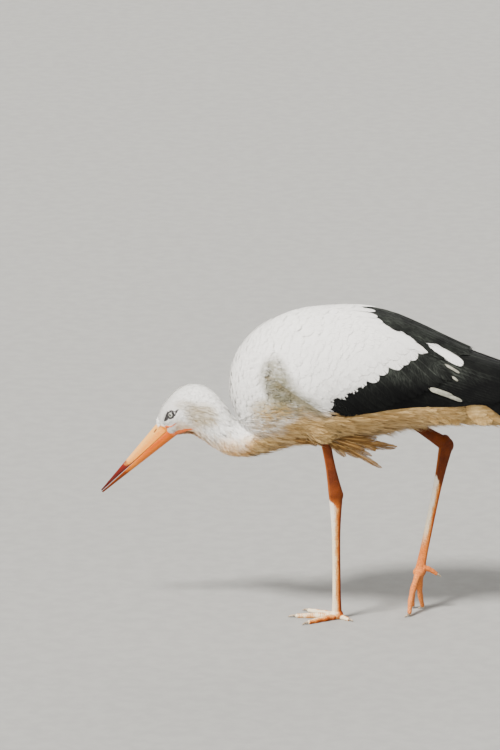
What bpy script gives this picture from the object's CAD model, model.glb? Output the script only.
"""White stork taking a step, with solid-mesh feathers over one skin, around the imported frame.

Working units are millimetres in the bird's own frame: it faces -X, its left side is -Y
and the floor is z = 0. metres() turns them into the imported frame. Shaders work in metres.
"""
import math

import bpy
import numpy as np
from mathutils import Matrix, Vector
from mathutils.bvhtree import BVHTree


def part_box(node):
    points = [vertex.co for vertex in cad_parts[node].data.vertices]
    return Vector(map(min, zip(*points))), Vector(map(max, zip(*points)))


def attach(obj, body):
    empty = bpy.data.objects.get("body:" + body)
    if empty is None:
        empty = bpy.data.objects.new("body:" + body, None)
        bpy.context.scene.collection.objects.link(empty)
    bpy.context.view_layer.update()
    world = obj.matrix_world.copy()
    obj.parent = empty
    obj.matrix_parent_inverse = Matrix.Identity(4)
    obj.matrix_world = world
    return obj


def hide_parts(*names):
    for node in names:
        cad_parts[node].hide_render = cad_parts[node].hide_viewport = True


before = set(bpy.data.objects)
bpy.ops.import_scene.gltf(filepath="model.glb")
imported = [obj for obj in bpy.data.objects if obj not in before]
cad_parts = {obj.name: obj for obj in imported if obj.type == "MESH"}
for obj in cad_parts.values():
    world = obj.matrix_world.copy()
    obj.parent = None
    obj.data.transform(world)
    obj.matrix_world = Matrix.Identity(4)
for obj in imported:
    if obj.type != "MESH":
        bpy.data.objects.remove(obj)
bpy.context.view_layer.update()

RNG = np.random.default_rng(11)

# ---- Dimensions shared with the solids (mm) ----

# [x, height of the back, height of the belly, half-width, share of the height where widest]
BODY = np.array([
    [-190, 384, 384, 0, 0.5], [-188, 409, 349, 26, 0.5], [-181, 432, 327, 42, 0.5],
    [-168, 453, 303, 56, 0.5], [-147, 475, 283, 69, 0.5], [-115, 493, 279, 81, 0.5],
    [-77, 506, 283, 90, 0.5], [-32, 511, 287, 94, 0.5], [16, 511, 294, 94, 0.48],
    [64, 502, 306, 89, 0.45], [112, 481, 314, 80, 0.42], [160, 456, 317, 69, 0.38],
    [208, 434, 318, 58, 0.34], [253, 416, 315, 50, 0.28], [298, 393, 301, 44, 0.22],
    [341, 363, 294, 36, 0.2], [373, 331, 294, 22, 0.2], [384, 306, 304, 12, 0.3],
])
TRUNK_STATIONS = 12     # rows of the body that the trunk shares, before its own rump
RUMP = [[192, 405, 322, 46, 0.35], [208, 375, 330, 22, 0.4]]
TRUNK = np.vstack([BODY[:TRUNK_STATIONS], RUMP])
TAIL = np.array([
    [180, 352, 318, 42, 0.45], [215, 370, 317, 38, 0.4], [253, 358, 314, 36, 0.4],
    [298, 334, 306, 33, 0.4], [335, 314, 299, 30, 0.4], [352, 306, 297, 27, 0.45],
    [356, 303, 299, 22, 0.5],
])
# [body station, lower edge angle, upper edge angle, thickness]
WING = np.array([
    [4.42, 27, 42, 2], [4.7, 18, 54, 6], [5, 10, 60, 9], [6, -11, 62, 12], [7, -27, 64, 12],
    [8, -30, 70, 12], [9, -30, 82, 12], [9.6, -28, 89.5, 11], [11, -25, 89.5, 8],
    [12, -19, 89.5, 6], [13, -25, 89.5, 5], [14, -33, 89, 4], [15, -25, 84, 3.5],
    [16, -19, 60, 3], [16.85, -10, 34, 2.2],
])
# [x, z of the upper line, x, z of the throat line, half-width]
NECK = np.array([
    [-131, 346, -102, 278, 50], [-154, 331, -141, 267, 46], [-171, 323, -171, 263, 40],
    [-186, 326, -197, 266, 34], [-199, 346, -213, 275, 30], [-210, 360, -227, 285, 28],
    [-223, 371, -239, 292, 26.5], [-236, 378, -251, 297, 26], [-256, 379, -265, 296, 26],
    [-277, 370, -275, 294, 25], [-293, 355, -281, 291, 22.5], [-305, 340, -286, 289, 18.5],
    [-312, 325, -288, 288, 14.5], [-315, 311, -290, 286, 11],
])
TURN_START = -195.0     # x from which the head and neck turn away
TURN_RAMP = 60.0        # length over which they take up the turn
TURN_LENGTH = 260.0     # length of head and neck that is turned
TURN_ANGLE = math.radians(22)
# Straight lines of the bill, base and tip as x and z
CULMEN = np.array([[-307, 318], [-414.5, 187]])
TOMIUM = np.array([[-281, 311], [-413, 184.8]])
GONYS = np.array([[-277, 295], [-411, 182.6]])
BILL_HALF_WIDTH = 12.0
BILL_TIP_HALF_WIDTH = 1.3
EYE_AT = np.array([-281, 17.6, 330])
EYE_RADIUS = 7.6

# feathered counts the rings of the thigh that are built, web holds the radii of the ball of
# skin between two toes.
# Toes: root, tip, radius, bow and reach of the claw
LEGS = {
    "left": dict(
        knee=(-58, -50, 405), cuff=(-37.6, -55, 291), ankle=(-23, -58, 214), base=(-20, -33, 7),
        width=35, feathered=18, web=(7.5, 4.5, 2.8),
        toes=[
            ((-15, -35, 4), (0, -48, 2.3), 5, 0, (6, -5, -1.2)),
            ((-26, -27, 4.5), (-67, 6, 2.6), 6, 0, (-8, 6, -1.5)),
            ((-28, -32, 4.6), (-88, -27, 2.7), 6.2, 0, (-11, 1, -1.6)),
            ((-26, -38, 4.5), (-68, -66, 2.6), 6, 0, (-8.5, -6, -1.5)),
        ]),
    "right": dict(
        knee=(-4, 45, 392), cuff=(86, 52, 313), ankle=(157, 58, 266), base=(114, 12, 65),
        width=33, feathered=20, web=(3.0, 4.5, 7.0),
        toes=[
            ((121, 13, 72), (143, 14, 60), 5.4, 2, (6, 0, -4)),
            ((111, 6, 60), (97, -23, 3), 6.3, -3, (-8, -5, -2.2)),
            ((112, 12, 59), (104, 25, 3), 6, -4, (-9, 1, -2.2)),
            ((116, 17, 60), (120, 20, 3), 6.2, -3, (-8, 2, -2.2)),
        ]),
}
LEGS = {name: {key: value if key == "toes" else np.array(value, float)
               for key, value in leg.items()} for name, leg in LEGS.items()}
SHANK_RADII = [7.4, 6.8, 7.0, 8.4, 10.2]
TARSUS_RADII = [10.0, 7.6, 6.1, 5.8, 5.8, 6.0, 7.0]
FOOT_PAD = (10.5, 10, 8.5)
DEEPER = 1.14           # limbs are oval: deeper fore and aft, narrower across
NARROWER = 0.9
SIDES = {"left": -1, "right": 1}

# ---- Curves ----


def smooth(t):
    t = np.clip(t, 0.0, 1.0)
    return t * t * (3 - 2 * t)


def unit(vectors):
    return vectors / np.maximum(np.linalg.norm(vectors, axis=-1, keepdims=True), 1e-9)


def between(start, end, share):
    """Points at shares of the way from one point to another."""
    share = np.asarray(share)[..., None]
    return np.asarray(start, float) * (1 - share) + np.asarray(end, float) * share


def along_line(points, start, end):
    """Share of the way along a line, its length, and the distance from its stretch."""
    line = np.subtract(end, start)
    length = np.linalg.norm(line)
    share = (points - start) @ line / length ** 2
    stretch = np.clip(share, 0, 1)[:, None] * line
    return share, length, np.linalg.norm(points - start - stretch, axis=1)


def bell(values, middle, width, power=2):
    """1 at the middle, and at power 2 about a third at the width."""
    return np.exp(-np.abs((values - middle) / width) ** power)


def read_off(table, x):
    """Second column of a table, read off at places in its first."""
    return np.interp(x, table[:, 0], table[:, 1])


def rows_at(table, station):
    """Catmull-Rom rows of a table at fractional row numbers."""
    station = np.atleast_1d(np.asarray(station, float))
    last = len(table) - 1
    i = np.clip(np.floor(station).astype(int), 0, last - 1)
    f = (station - i)[:, None]
    before, here, after, beyond = (table[np.clip(i + k, 0, last)] for k in (-1, 0, 1, 2))
    return 0.5 * (2 * here + (after - before) * f
                  + (2 * before - 5 * here + 4 * after - beyond) * f ** 2
                  + (3 * here - before - 3 * after + beyond) * f ** 3)


def section(rows, angle, inset, side=1):
    """Points of upright body sections, at angles up from their widest line."""
    x, top, bottom, half, mid = rows.T
    centre = bottom + mid * (top - bottom)
    rise = np.sin(angle)
    reach = np.where(rise > 0, top - centre, centre - bottom)
    y = side * np.maximum(half - inset, 0.2) * np.cos(angle)
    return np.stack([x + 0 * y, y, centre + np.maximum(reach - inset, 0.2) * rise], -1)


TURN_D = np.linspace(0, TURN_LENGTH, 1301)
TURN_HEADING = TURN_ANGLE * smooth(TURN_D / TURN_RAMP)
TURN_DX, TURN_DY = (np.concatenate([[0], np.cumsum(np.diff(TURN_D) * part(TURN_HEADING[:-1]))])
                    for part in (np.cos, np.sin))


def turned(points):
    """Turns points of the straight head and neck with the head."""
    points = np.asarray(points, float)
    reach = np.clip(TURN_START - points[..., 0], 0, TURN_LENGTH)
    heading = TURN_ANGLE * smooth(reach / TURN_RAMP)
    x = TURN_START - np.interp(reach, TURN_D, TURN_DX) + points[..., 1] * np.sin(heading)
    y = np.interp(reach, TURN_D, TURN_DY) + points[..., 1] * np.cos(heading)
    bent = np.stack([x, y, points[..., 2]], -1)
    return np.where(points[..., :1] < TURN_START, bent, points)


def neck_points(station, angle, inset):
    """Points of the neck and head before the turn. Angle 0 is the upper line."""
    rows = rows_at(NECK, station)
    upper, throat = rows[:, 0:2], rows[:, 2:4]
    arm = (upper - throat) / 2
    length = np.linalg.norm(arm, axis=1, keepdims=True)
    inset = np.broadcast_to(inset, station.shape)[:, None]
    arm = arm * np.maximum(length - inset, 0.5) / length
    half = np.maximum(rows[:, 4:5] - inset, 0.5)
    side = (upper + throat) / 2 + arm * np.cos(angle)[:, None]
    return np.concatenate([side[:, :1], half * np.sin(angle)[:, None], side[:, 1:]], 1)


# ---- Frame and mesh helpers ----


def eye_centre(side):
    return turned(EYE_AT * [1, side, 1])


SHIFT = np.mean(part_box("eye_left"), axis=0) * 1000 - eye_centre(-1)


def metres(points):
    return (np.asarray(points, float) + SHIFT) * 0.001


def linked(name, data):
    """A new object in the scene."""
    made = bpy.data.objects.new(name, data)
    bpy.context.scene.collection.objects.link(made)
    return made


def set_tone(mesh, tone):
    """Values for the shaders at each point, as the colour attribute tone."""
    layer = mesh.attributes.new("tone", "FLOAT_COLOR", "POINT")
    layer.data.foreach_set("color", tone.astype(np.float32).ravel())


def new_mesh(name, points, faces, uv=None, tone=None):
    """Object from points in mm and a list of face arrays."""
    mesh = bpy.data.meshes.new(name)
    corners = np.concatenate([np.asarray(f, np.int32).ravel() for f in faces])
    totals = np.concatenate([np.full(len(f), f.shape[1], np.int32) for f in faces])
    starts = np.concatenate([[0], np.cumsum(totals)[:-1]]).astype(np.int32)
    mesh.vertices.add(len(points))
    mesh.vertices.foreach_set("co", metres(points).astype(np.float32).ravel())
    mesh.loops.add(len(corners))
    mesh.loops.foreach_set("vertex_index", corners)
    mesh.polygons.add(len(totals))
    mesh.polygons.foreach_set("loop_start", starts)
    mesh.update(calc_edges=True)
    mesh.shade_smooth()
    if uv is not None:
        layer = mesh.uv_layers.new(name="OFBake")
        layer.data.foreach_set("uv", uv[corners].astype(np.float32).ravel())
    if tone is not None:
        set_tone(mesh, tone)
    return linked(name, mesh)


def vertex_array(mesh, key):
    """Three numbers for each point of a mesh."""
    flat = np.empty(len(mesh.vertices) * 3, np.float32)
    mesh.vertices.foreach_get(key, flat)
    return flat.reshape(-1, 3).astype(float)


def ring_quads(rings, sides, closed=True):
    """Quads between rows of points."""
    r, i = np.meshgrid(np.arange(rings - 1), np.arange(sides - (not closed)), indexing="ij")
    a = r * sides + i
    b = r * sides + (i + 1) % sides
    return np.stack([a, b, b + sides, a + sides], -1).reshape(-1, 4)


def loft_faces(rings, sides):
    """Faces of a closed loft, with a fan to an added centre point at each end."""
    k = np.arange(sides)
    first = np.full(sides, rings * sides)
    end = (rings - 1) * sides
    caps = [np.stack([(k + 1) % sides, k, first], -1),
            np.stack([end + k, end + (k + 1) % sides, first + 1], -1)]
    return [ring_quads(rings, sides), np.concatenate(caps)]


def closed_loft(rings):
    """Points and faces of a loft through (rings, sides, 3) points."""
    count, sides, _ = rings.shape
    points = np.concatenate([rings.reshape(-1, 3), [rings[0].mean(0), rings[-1].mean(0)]])
    return points, loft_faces(count, sides)


def ring_angles(sides):
    return 2 * np.pi * np.arange(sides) / sides


STEEP = 0.8             # a limb steeper than this has its section turned fore and aft


def limb_rings(path, radii, sides):
    """Rings of an oval section along a path; radii are (fore, across) at each point."""
    whole = path[-1] - path[0]
    steep = abs(whole[2]) > STEEP * np.linalg.norm(whole)
    reference = np.array([1.0, 0, 0] if steep else [0, 0, 1.0])
    axis = unit(np.gradient(path, axis=0))
    fore = unit(reference - axis * (axis @ reference)[:, None])
    across = np.cross(axis, fore)
    angle = ring_angles(sides)[None, :, None]
    ring = path[:, None] + fore[:, None] * (radii[:, :1, None] * np.cos(angle))
    return ring + across[:, None] * (radii[:, 1:, None] * np.sin(angle))


def ball(centre, radii, sides=28, rings=16):
    """Points and faces of an ellipsoid."""
    down = np.pi * (np.arange(1, rings) / rings)[:, None]
    angle = ring_angles(sides)[None]
    ring = np.stack([np.sin(down) * np.cos(angle), np.sin(down) * np.sin(angle),
                     np.cos(down) + 0 * angle], -1)
    points = np.concatenate([ring.reshape(-1, 3), [[0, 0, 1], [0, 0, -1]]])
    return points * radii + centre, loft_faces(rings - 1, sides)


def union(name, parts, voxel, soften):
    """One mesh from overlapping closed parts, each of points, quads and triangles."""
    starts = np.cumsum([0] + [len(points) for points, _ in parts])
    faces = [np.concatenate([part[1][k] + start for part, start in zip(parts, starts)])
             for k in (0, 1)]
    rough = new_mesh(name + "_rough", np.concatenate([points for points, _ in parts]), faces)
    remesh = rough.modifiers.new("union", "REMESH")
    remesh.mode = "VOXEL"
    remesh.voxel_size = voxel * 0.001
    smoothing = rough.modifiers.new("soften", "SMOOTH")
    smoothing.factor = 0.5
    smoothing.iterations = soften
    graph = bpy.context.evaluated_depsgraph_get()
    mesh = bpy.data.meshes.new_from_object(rough.evaluated_get(graph))
    bpy.data.objects.remove(rough)
    mesh.name = name
    mesh.shade_smooth()
    return linked(name, mesh)


# ---- Materials ----


def feed(socket, value):
    """Links a value to a socket, or sets a number or a colour on it."""
    if isinstance(value, Value):
        socket.id_data.links.new(value.socket, socket)
    elif socket.type == "RGBA":
        socket.default_value = (*value, 1)
    else:
        socket.default_value = value


class Value:
    """A shader socket to reckon with as with a number, a place or a colour."""

    def __init__(self, socket):
        self.socket = socket

    def node(self, kind, inputs, **settings):
        """Outputs of a new node in the same material."""
        item = self.socket.id_data.nodes.new("ShaderNode" + kind)
        for key, value in settings.items():
            setattr(item, key, value)
        for key, value in inputs.items():
            feed(item.inputs[key], value)
        return {key: Value(output) for key, output in [*enumerate(item.outputs),
                                                       *item.outputs.items()]}

    def math(self, operation, first, second):
        return self.node("Math", {0: first, 1: second}, operation=operation)[0]

    def __add__(self, other):
        return self.math("ADD", self, other)

    def __sub__(self, other):
        return self.math("SUBTRACT", self, other)

    def __rsub__(self, other):
        return self.math("SUBTRACT", other, self)

    def __mul__(self, other):
        return self.math("MULTIPLY", self, other)

    def larger(self, other):
        return self.math("MAXIMUM", self, other)

    def remap(self, low, high, to_low=0.0, to_high=1.0):
        """Soft step from to_low, at low and before, to to_high, at high and beyond."""
        inputs = {"Value": self, "From Min": low, "From Max": high,
                  "To Min": to_low, "To Max": to_high}
        return self.node("MapRange", inputs, interpolation_type="SMOOTHSTEP")[0]

    def mix(self, first, second, blend="MIX"):
        """Colour that is this share of the second and the rest of the first."""
        inputs = {0: self, 6: first, 7: second}
        return self.node("Mix", inputs, data_type="RGBA", blend_type=blend)[2]

    def ramp(self, stops):
        """Colour from a list of (value, colour)."""
        colour = self.node("ValToRGB", {"Fac": self})["Color"]
        elements = colour.socket.node.color_ramp.elements
        while len(elements) < len(stops):
            elements.new(0.5)
        for element, (at, shade) in zip(elements, stops):
            element.position = at
            element.color = (*shade, 1)
        return colour

    def parts(self):
        return [self.node("SeparateXYZ", {"Vector": self})[k] for k in range(3)]

    def stretched(self, scale, turn=(0, 0, 0)):
        return self.node("Mapping", {"Vector": self, "Scale": scale, "Rotation": turn})[0]

    def noise(self, scale=1.0, detail=3.0, rough=0.55):
        inputs = {"Vector": self, "Scale": scale, "Detail": detail, "Roughness": rough}
        return self.node("TexNoise", inputs)["Fac"]

    def bump(self, distance, strength):
        return self.node("Bump", {"Height": self, "Distance": distance, "Strength": strength})[0]

    def tone(self):
        """The tone attribute: on feathers own shade, share along, share across, barb's place."""
        found = self.node("Attribute", {}, attribute_name="tone")
        split = self.node("SeparateColor", {"Color": found["Color"]})
        return [split[k] for k in range(3)] + [found["Alpha"]]


def finish(colour, roughness, specular=0.5, normal=None, **more):
    """Inputs of the material's own shader."""
    inputs = {"Base Color": colour, "Roughness": roughness, "Specular IOR Level": specular}
    if normal is not None:
        inputs["Normal"] = normal
    inputs.update({key.replace("_", " "): value for key, value in more.items()})
    return inputs


def material(name, build):
    """Material whose build takes the place on the object and returns the shader's inputs."""
    made = bpy.data.materials.new(name)
    made.use_nodes = True
    nodes = made.node_tree.nodes
    place = Value(nodes.new("ShaderNodeTexCoord").outputs["Object"])
    for key, value in build(place).items():
        feed(nodes["Principled BSDF"].inputs[key], value)
    return made


WHITE = (0.93, 0.92, 0.895)
CREAM = (0.46, 0.275, 0.07)
PALE_TAN = (0.74, 0.5, 0.2)
SHADE = (0.2, 0.185, 0.115)
FOLD_SHADE = (0.22, 0.19, 0.11)
BLACK = (0.0025, 0.0026, 0.003)
GREY_SHEEN = (0.08, 0.09, 0.077)
NECK_TAN = (0.85, 0.46, 0.13)
NECK_CREAM = (0.97, 0.7, 0.37)
CHEEK_SHADE = (0.46, 0.37, 0.22)
OLIVE = (0.3, 0.25, 0.12)
# Soft dull places in the white: x, z and reach in mm, strength and colour
SHADED = [(-121, 409, 31, 42, 0.85, SHADE), (-106, 388, 36, 36, 0.92, SHADE),
          (-88, 368, 52, 28, 0.95, SHADE), (-128, 356, 40, 26, 0.7, OLIVE),
          (-236, 333, 32, 26, 0.8, CHEEK_SHADE), (-262, 348, 24, 11, 0.45, CHEEK_SHADE)]
# Front and lower fold of the wing as a straight line: x, z and slope
FOLD = (-125.0, 410.0, -0.667)


def below_fold(x, z):
    """Height of the fold of the wing over a place."""
    at_x, at_z, slope = FOLD
    centre = metres([at_x, 0.0, at_z])
    return float(centre[2] - slope * centre[0]) - (z + x * -slope)


def soiled_below(x, z, place):
    """1 where the white is stained tan: the throat, the belly and under the tail."""
    line = x.remap(-0.19, -0.05, 0.285, 0.352) + x.remap(-0.06, 0.05, 0.0, 0.036)
    line = line + x.remap(-0.245, -0.19, 0.029, 0.0) + x.remap(-0.285, -0.265, -0.03, 0.0)
    line = line + place.noise(22, 4).remap(0.3, 0.7, -0.012, 0.012)
    low = (line - z).remap(-0.016, 0.02)
    strands = place.stretched((40, 260, 260), (0, 0.25, 0)).noise()
    breast = (x.remap(-0.2, -0.14, 0.29, 0.372) - z).remap(-0.006, 0.022)
    breast = breast * strands.remap(0.42, 0.58, 0.1, 0.75) * x.remap(-0.162, -0.128)
    wing_edge = x.remap(0.0, 0.2, 0.3575, 0.385) - z
    under = below_fold(x, z).larger(wing_edge).remap(-0.002, 0.004)
    return low.larger(breast) * under * x.remap(0.27, 0.31, 0.95, 0.45)


def wing_fold(x, z):
    """Shadow under the front edge of the wing: sharp above, soft below."""
    below = below_fold(x, z)
    shade = below.remap(-0.001, 0.0015) * below.remap(0.02, 0.002)
    return shade * (x.remap(-0.124, -0.1) * x.remap(-0.02, -0.045))


def plumage_colour(place):
    """White, with soft dull places, warming to tan below."""
    x, y, z = place.parts()
    side = y.remap(-0.02, 0.02, 1.0, 0.6)
    streaks = place.stretched((60, 220, 220), (0, -0.3, 0)).noise(1.0, 4)
    streaky = streaks.remap(0.3, 0.6, 0.55, 1.0)
    colour = WHITE
    for at_x, at_z, reach_x, reach_z, most, dull in SHADED:
        centre = metres([at_x, 0.0, at_z])
        off_x = (x - centre[0]) * (1000 / reach_x)
        off_z = (z - centre[2]) * (1000 / reach_z)
        share = (off_x * off_x + off_z * off_z).remap(1.0, 0.15, 0.0, most)
        colour = (share * streaky * side).mix(colour, dull)
    on_wing = x.remap(-0.1, -0.07) * below_fold(x, z).remap(0.004, -0.018, 0.0, 0.5)
    colour = on_wing.mix(colour, WHITE)
    tan = streaks.remap(0.35, 0.7).mix(CREAM, PALE_TAN)
    neck_tan = streaks.remap(0.35, 0.65).mix(NECK_TAN, NECK_CREAM)
    tan = x.remap(-0.13, -0.17).mix(tan, neck_tan)
    colour = soiled_below(x, z, place).mix(colour, tan)
    return (wing_fold(x, z) * 0.85).mix(colour, FOLD_SHADE)


def white_coat(place):
    """White feathers, darker at the root, some of them duller than the rest."""
    own, along, _, _ = place.tone()
    lit = own.remap(0, 1, 0.9, 1.0) * along.remap(0.0, 0.5, 0.9, 1.0)
    colour = lit.mix((0, 0, 0), plumage_colour(place))
    colour = own.remap(0.4, 0.0, 0.0, 0.9).mix(colour, (0.7, 0.6, 0.44), "MULTIPLY")
    return finish(colour, 0.78, 0.25, place.noise(900, 2).bump(0.0003, 0.25),
                  Sheen_Weight=0.15, Sheen_Roughness=0.5)


def skin_surface(place):
    """Plumage colours, black under the black feathers and orange where it is bare."""
    dark, bare, _, _ = place.tone()
    down = place.noise(420, 4)
    colour = dark.mix(plumage_colour(place), BLACK)
    colour = down.remap(0.3, 0.75, 0.0, 0.12).mix(colour, (0.7, 0.66, 0.58))
    return finish(bare.mix(colour, (0.82, 0.26, 0.02)), 0.9, 0.15, down.bump(0.0015, 0.6))


def barb_streaks(place, fine, wide, low, high):
    """Streaks along the barbs, different on each feather."""
    own, _, across, barb = place.tone()
    spot = place.node("CombineXYZ", {"X": barb * fine, "Y": across * wide, "Z": own * 9.0})[0]
    return spot.noise(1.0, 3, 0.6).remap(low, high)


def black_vane(place):
    """Black, with pale streaks along the barbs of the inner feathers and pale rims."""
    own, _, across, _ = place.tone()
    x, _, z = place.parts()
    streak = barb_streaks(place, 46.0, 2.5, 0.4, 0.72)
    bloom = place.noise(30, 3).remap(0.3, 0.62, 0.3, 1.0) * z.remap(0.385, 0.425, 0.12, 1.0)
    share = (streak * own + 0.12 + across.remap(0.84, 1.0, 0.0, 0.55)) * bloom
    share = share * x.remap(0.17, 0.27, 1.0, 0.45)
    return finish(share.mix(BLACK, GREY_SHEEN), 0.62, 0.09, streak.bump(0.0003, 0.35))


def plume_vane(place):
    """Tan belly feathers with brown barbs, pale rims and shafts, and dark roots."""
    _, along, across, _ = place.tone()
    streak = barb_streaks(place, 30.0, 2.0, 0.35, 0.65)
    colour = streak.mix((0.04, 0.018, 0.004), (0.2, 0.1, 0.026))
    colour = across.remap(0.8, 0.97, 0.0, 0.9).mix(colour, (0.7, 0.45, 0.18))
    colour = across.remap(0.07, 0.02, 0.0, 0.7).mix(colour, (0.5, 0.3, 0.1))
    return finish(along.remap(0.0, 0.45, 0.5, 0.0).mix(colour, (0.07, 0.035, 0.01)), 0.75, 0.15)


def grey_vane(place):
    """Pale grey feathers among the black, with dark ends and rims."""
    _, along, across, _ = place.tone()
    patches = place.noise(160, 4)
    colour = patches.remap(0.35, 0.65).mix((0.34, 0.34, 0.27), (0.5, 0.49, 0.4))
    colour = along.remap(0.35, 1.0, 0.0, 0.6).mix(colour, (0.14, 0.14, 0.12))
    colour = across.remap(0.7, 1.0, 0.0, 0.8).mix(colour, (0.12, 0.12, 0.1))
    return finish(colour, 0.6, 0.5, patches.bump(0.0003, 0.3))


def mottled(scale, detail, low, high, first, second, roughness, specular, depth, strength):
    """Look of two colours in soft patches."""
    def build(place):
        patches = place.noise(scale, detail)
        colour = patches.remap(low, high).mix(first, second)
        return finish(colour, roughness, specular, patches.bump(depth, strength))
    return build


BILL_BASE = metres(turned([-300.0, 0.0, 302.0]))
BILL_TIP = metres(turned([-412.8, 0.0, 184.8]))
# Colours of each half of the bill: share of its length, at the biting edge, at the ridge
BILL_COLOURS = {
    "upper": [
        (0.0, (0.8, 0.25, 0.015), (0.86, 0.4, 0.08)),
        (0.3, (0.8, 0.27, 0.02), (0.86, 0.41, 0.09)),
        (0.56, (0.78, 0.28, 0.03), (0.84, 0.39, 0.1)),
        (0.605, (0.13, 0.005, 0.001), (0.2, 0.008, 0.001)),
        (0.78, (0.07, 0.004, 0.001), (0.09, 0.004, 0.001)),
        (1.0, (0.035, 0.003, 0.002), (0.03, 0.003, 0.002)),
    ],
    "lower": [
        (0.0, (0.66, 0.09, 0.0), (0.68, 0.13, 0.0)),
        (0.35, (0.66, 0.105, 0.0), (0.68, 0.15, 0.002)),
        (0.58, (0.7, 0.18, 0.01), (0.68, 0.2, 0.015)),
        (0.68, (0.28, 0.05, 0.002), (0.26, 0.05, 0.003)),
        (1.0, (0.1, 0.018, 0.003), (0.12, 0.022, 0.003)),
    ],
}
STREAKED = {"upper": 0.5, "lower": 0.2}


def bill_horn(half):
    def build(place):
        height, along, hole, _ = place.tone()
        wavy = along + place.noise(55).remap(0.3, 0.7, -0.05, 0.05)
        edge = wavy.ramp([(at, low) for at, low, _ in BILL_COLOURS[half]])
        ridge = wavy.ramp([(at, high) for at, _, high in BILL_COLOURS[half]])
        colour = height.remap(0.3, 0.8).mix(edge, ridge)
        direction = Vector(BILL_TIP - BILL_BASE).to_track_quat("X", "Z").to_euler()
        streaks = place.stretched((50, 800, 800), direction).noise(1.0, 4)
        pale = along.remap(0.55, 0.61).mix((0.9, 0.5, 0.16), (0.14, 0.01, 0.003))
        colour = streaks.remap(0.42, 0.72, 0.0, STREAKED[half]).mix(colour, pale)
        veins = place.stretched((30, 520, 520), direction).noise()
        vein = veins.remap(0.55, 0.7, 0.0, 0.4) * along.remap(0.6, 0.5)
        colour = vein.mix(colour, (0.8, 0.22, 0.03))
        colour = hole.remap(0.35, 0.8, 0.0, 0.85).mix(colour, (0.12, 0.025, 0.008))
        return finish(colour, 0.5, 0.2, streaks.bump(0.0005, 0.45), Subsurface_Weight=0.05,
                      Subsurface_Radius=(0.003, 0.001, 0.0006))
    return build


def leg_scales(place):
    """Red-orange scutes, whitened with dust on the side that faces forward."""
    normal = place.node("NewGeometry", {})["Normal"]
    forward = {0: normal, 1: (-0.97, -0.16, 0.18)}
    facing = place.node("VectorMath", forward, operation="DOT_PRODUCT")["Value"]
    x, _, z = place.parts()
    wear = place.stretched((260, 260, 60)).noise(1.0, 4)
    faced = facing + wear.remap(0.3, 0.7, -0.16, 0.16)
    right = x.remap(0.045, 0.06)
    edge = right.remap(0.0, 1.0, 0.2055, 0.2195) + wear.remap(0.3, 0.7, -0.002, 0.002)
    edge = edge - facing.remap(1.0, -0.2, 0.0, 0.014)
    below = (edge - z).remap(-0.002, 0.003) * (1.0 - z.remap(0.145, 0.1) * right)
    cells = place.node("TexVoronoi", {"Vector": place, "Scale": 330.0}, feature="DISTANCE_TO_EDGE")
    grooves = cells["Distance"].remap(0.0, 0.12)
    patches = place.noise(28).remap(0.35, 0.65)
    flesh = patches.mix((0.62, 0.12, 0.008), (0.72, 0.19, 0.02))
    rear = patches.mix((0.14, 0.022, 0.001), (0.22, 0.04, 0.003))
    back = facing.remap(-0.1, -0.7) * right.remap(0.0, 1.0, 1.0, 0.6)
    flesh = back.mix(flesh, rear)
    shank = patches.mix((0.08, 0.014, 0.0005), (0.15, 0.03, 0.001))
    shank = facing.remap(0.6, 0.97, 0.0, 0.7).mix(shank, (0.45, 0.12, 0.01))
    flesh = z.remap(0.212, 0.19).mix(shank, flesh)
    flesh = (z.remap(0.12, 0.05, 0.0, 0.4) * right).mix(flesh, (0.82, 0.32, 0.1))
    colour = (faced.remap(-0.35, 0.08, 0.0, 0.8) * below).mix(flesh, (0.86, 0.45, 0.14))
    dust = faced.remap(0.05, 0.5, 0.0, 0.95) * below
    colour = dust.mix(colour, z.remap(0.13, 0.18).mix((0.93, 0.82, 0.6), (0.96, 0.9, 0.77)))
    carved = grooves.remap(0, 1, 0.5, 0.0) * dust.remap(0.0, 1.0, 1.0, 0.25)
    colour = carved.mix(colour, (0.2, 0.03, 0.005))
    return finish(colour, 0.6, 0.2, grooves.bump(0.0006, 0.7))


def gular_skin(place):
    """Orange skin, with a dark crease along the middle of the gape."""
    middle, crease, _, _ = place.tone()
    wrinkles = place.noise(500, 4)
    colour = wrinkles.remap(0.35, 0.7).mix((0.8, 0.1, 0.002), (0.85, 0.24, 0.02))
    colour = (middle.remap(0.7, 1.0) * crease).mix(colour, (0.07, 0.015, 0.004))
    return finish(colour, 0.5, 0.5, wrinkles.bump(0.0004, 0.5))


GAZE = np.array([-0.2, 0.96, 0.02])
PUPIL = 1.9
IRIS = 4.0
EYE_SPAN = 10.0         # mm from the pupil's middle that the colours run over


def eye_surface(side):
    def build(place):
        centre = eye_centre(side)
        ahead = turned((EYE_AT + GAZE * 2) * [1, side, 1])
        front = metres(centre + unit(ahead - centre) * EYE_RADIUS)
        away = place.node("VectorMath", {0: place, 1: tuple(front)}, operation="DISTANCE")["Value"]
        pupil = PUPIL / EYE_SPAN
        iris = IRIS / EYE_SPAN
        colour = (away * (1000 / EYE_SPAN)).ramp([
            (0.0, (0.003, 0.003, 0.003)), (pupil - 0.012, (0.003, 0.003, 0.004)),
            (pupil + 0.012, (0.3, 0.3, 0.25)), (iris - 0.09, (0.5, 0.5, 0.45)),
            (iris, (0.2, 0.2, 0.18)), (iris + 0.05, (0.008, 0.007, 0.007))])
        return finish(colour, 0.12, 0.6, Coat_Weight=1.0, Coat_Roughness=0.02)
    return build


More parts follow.
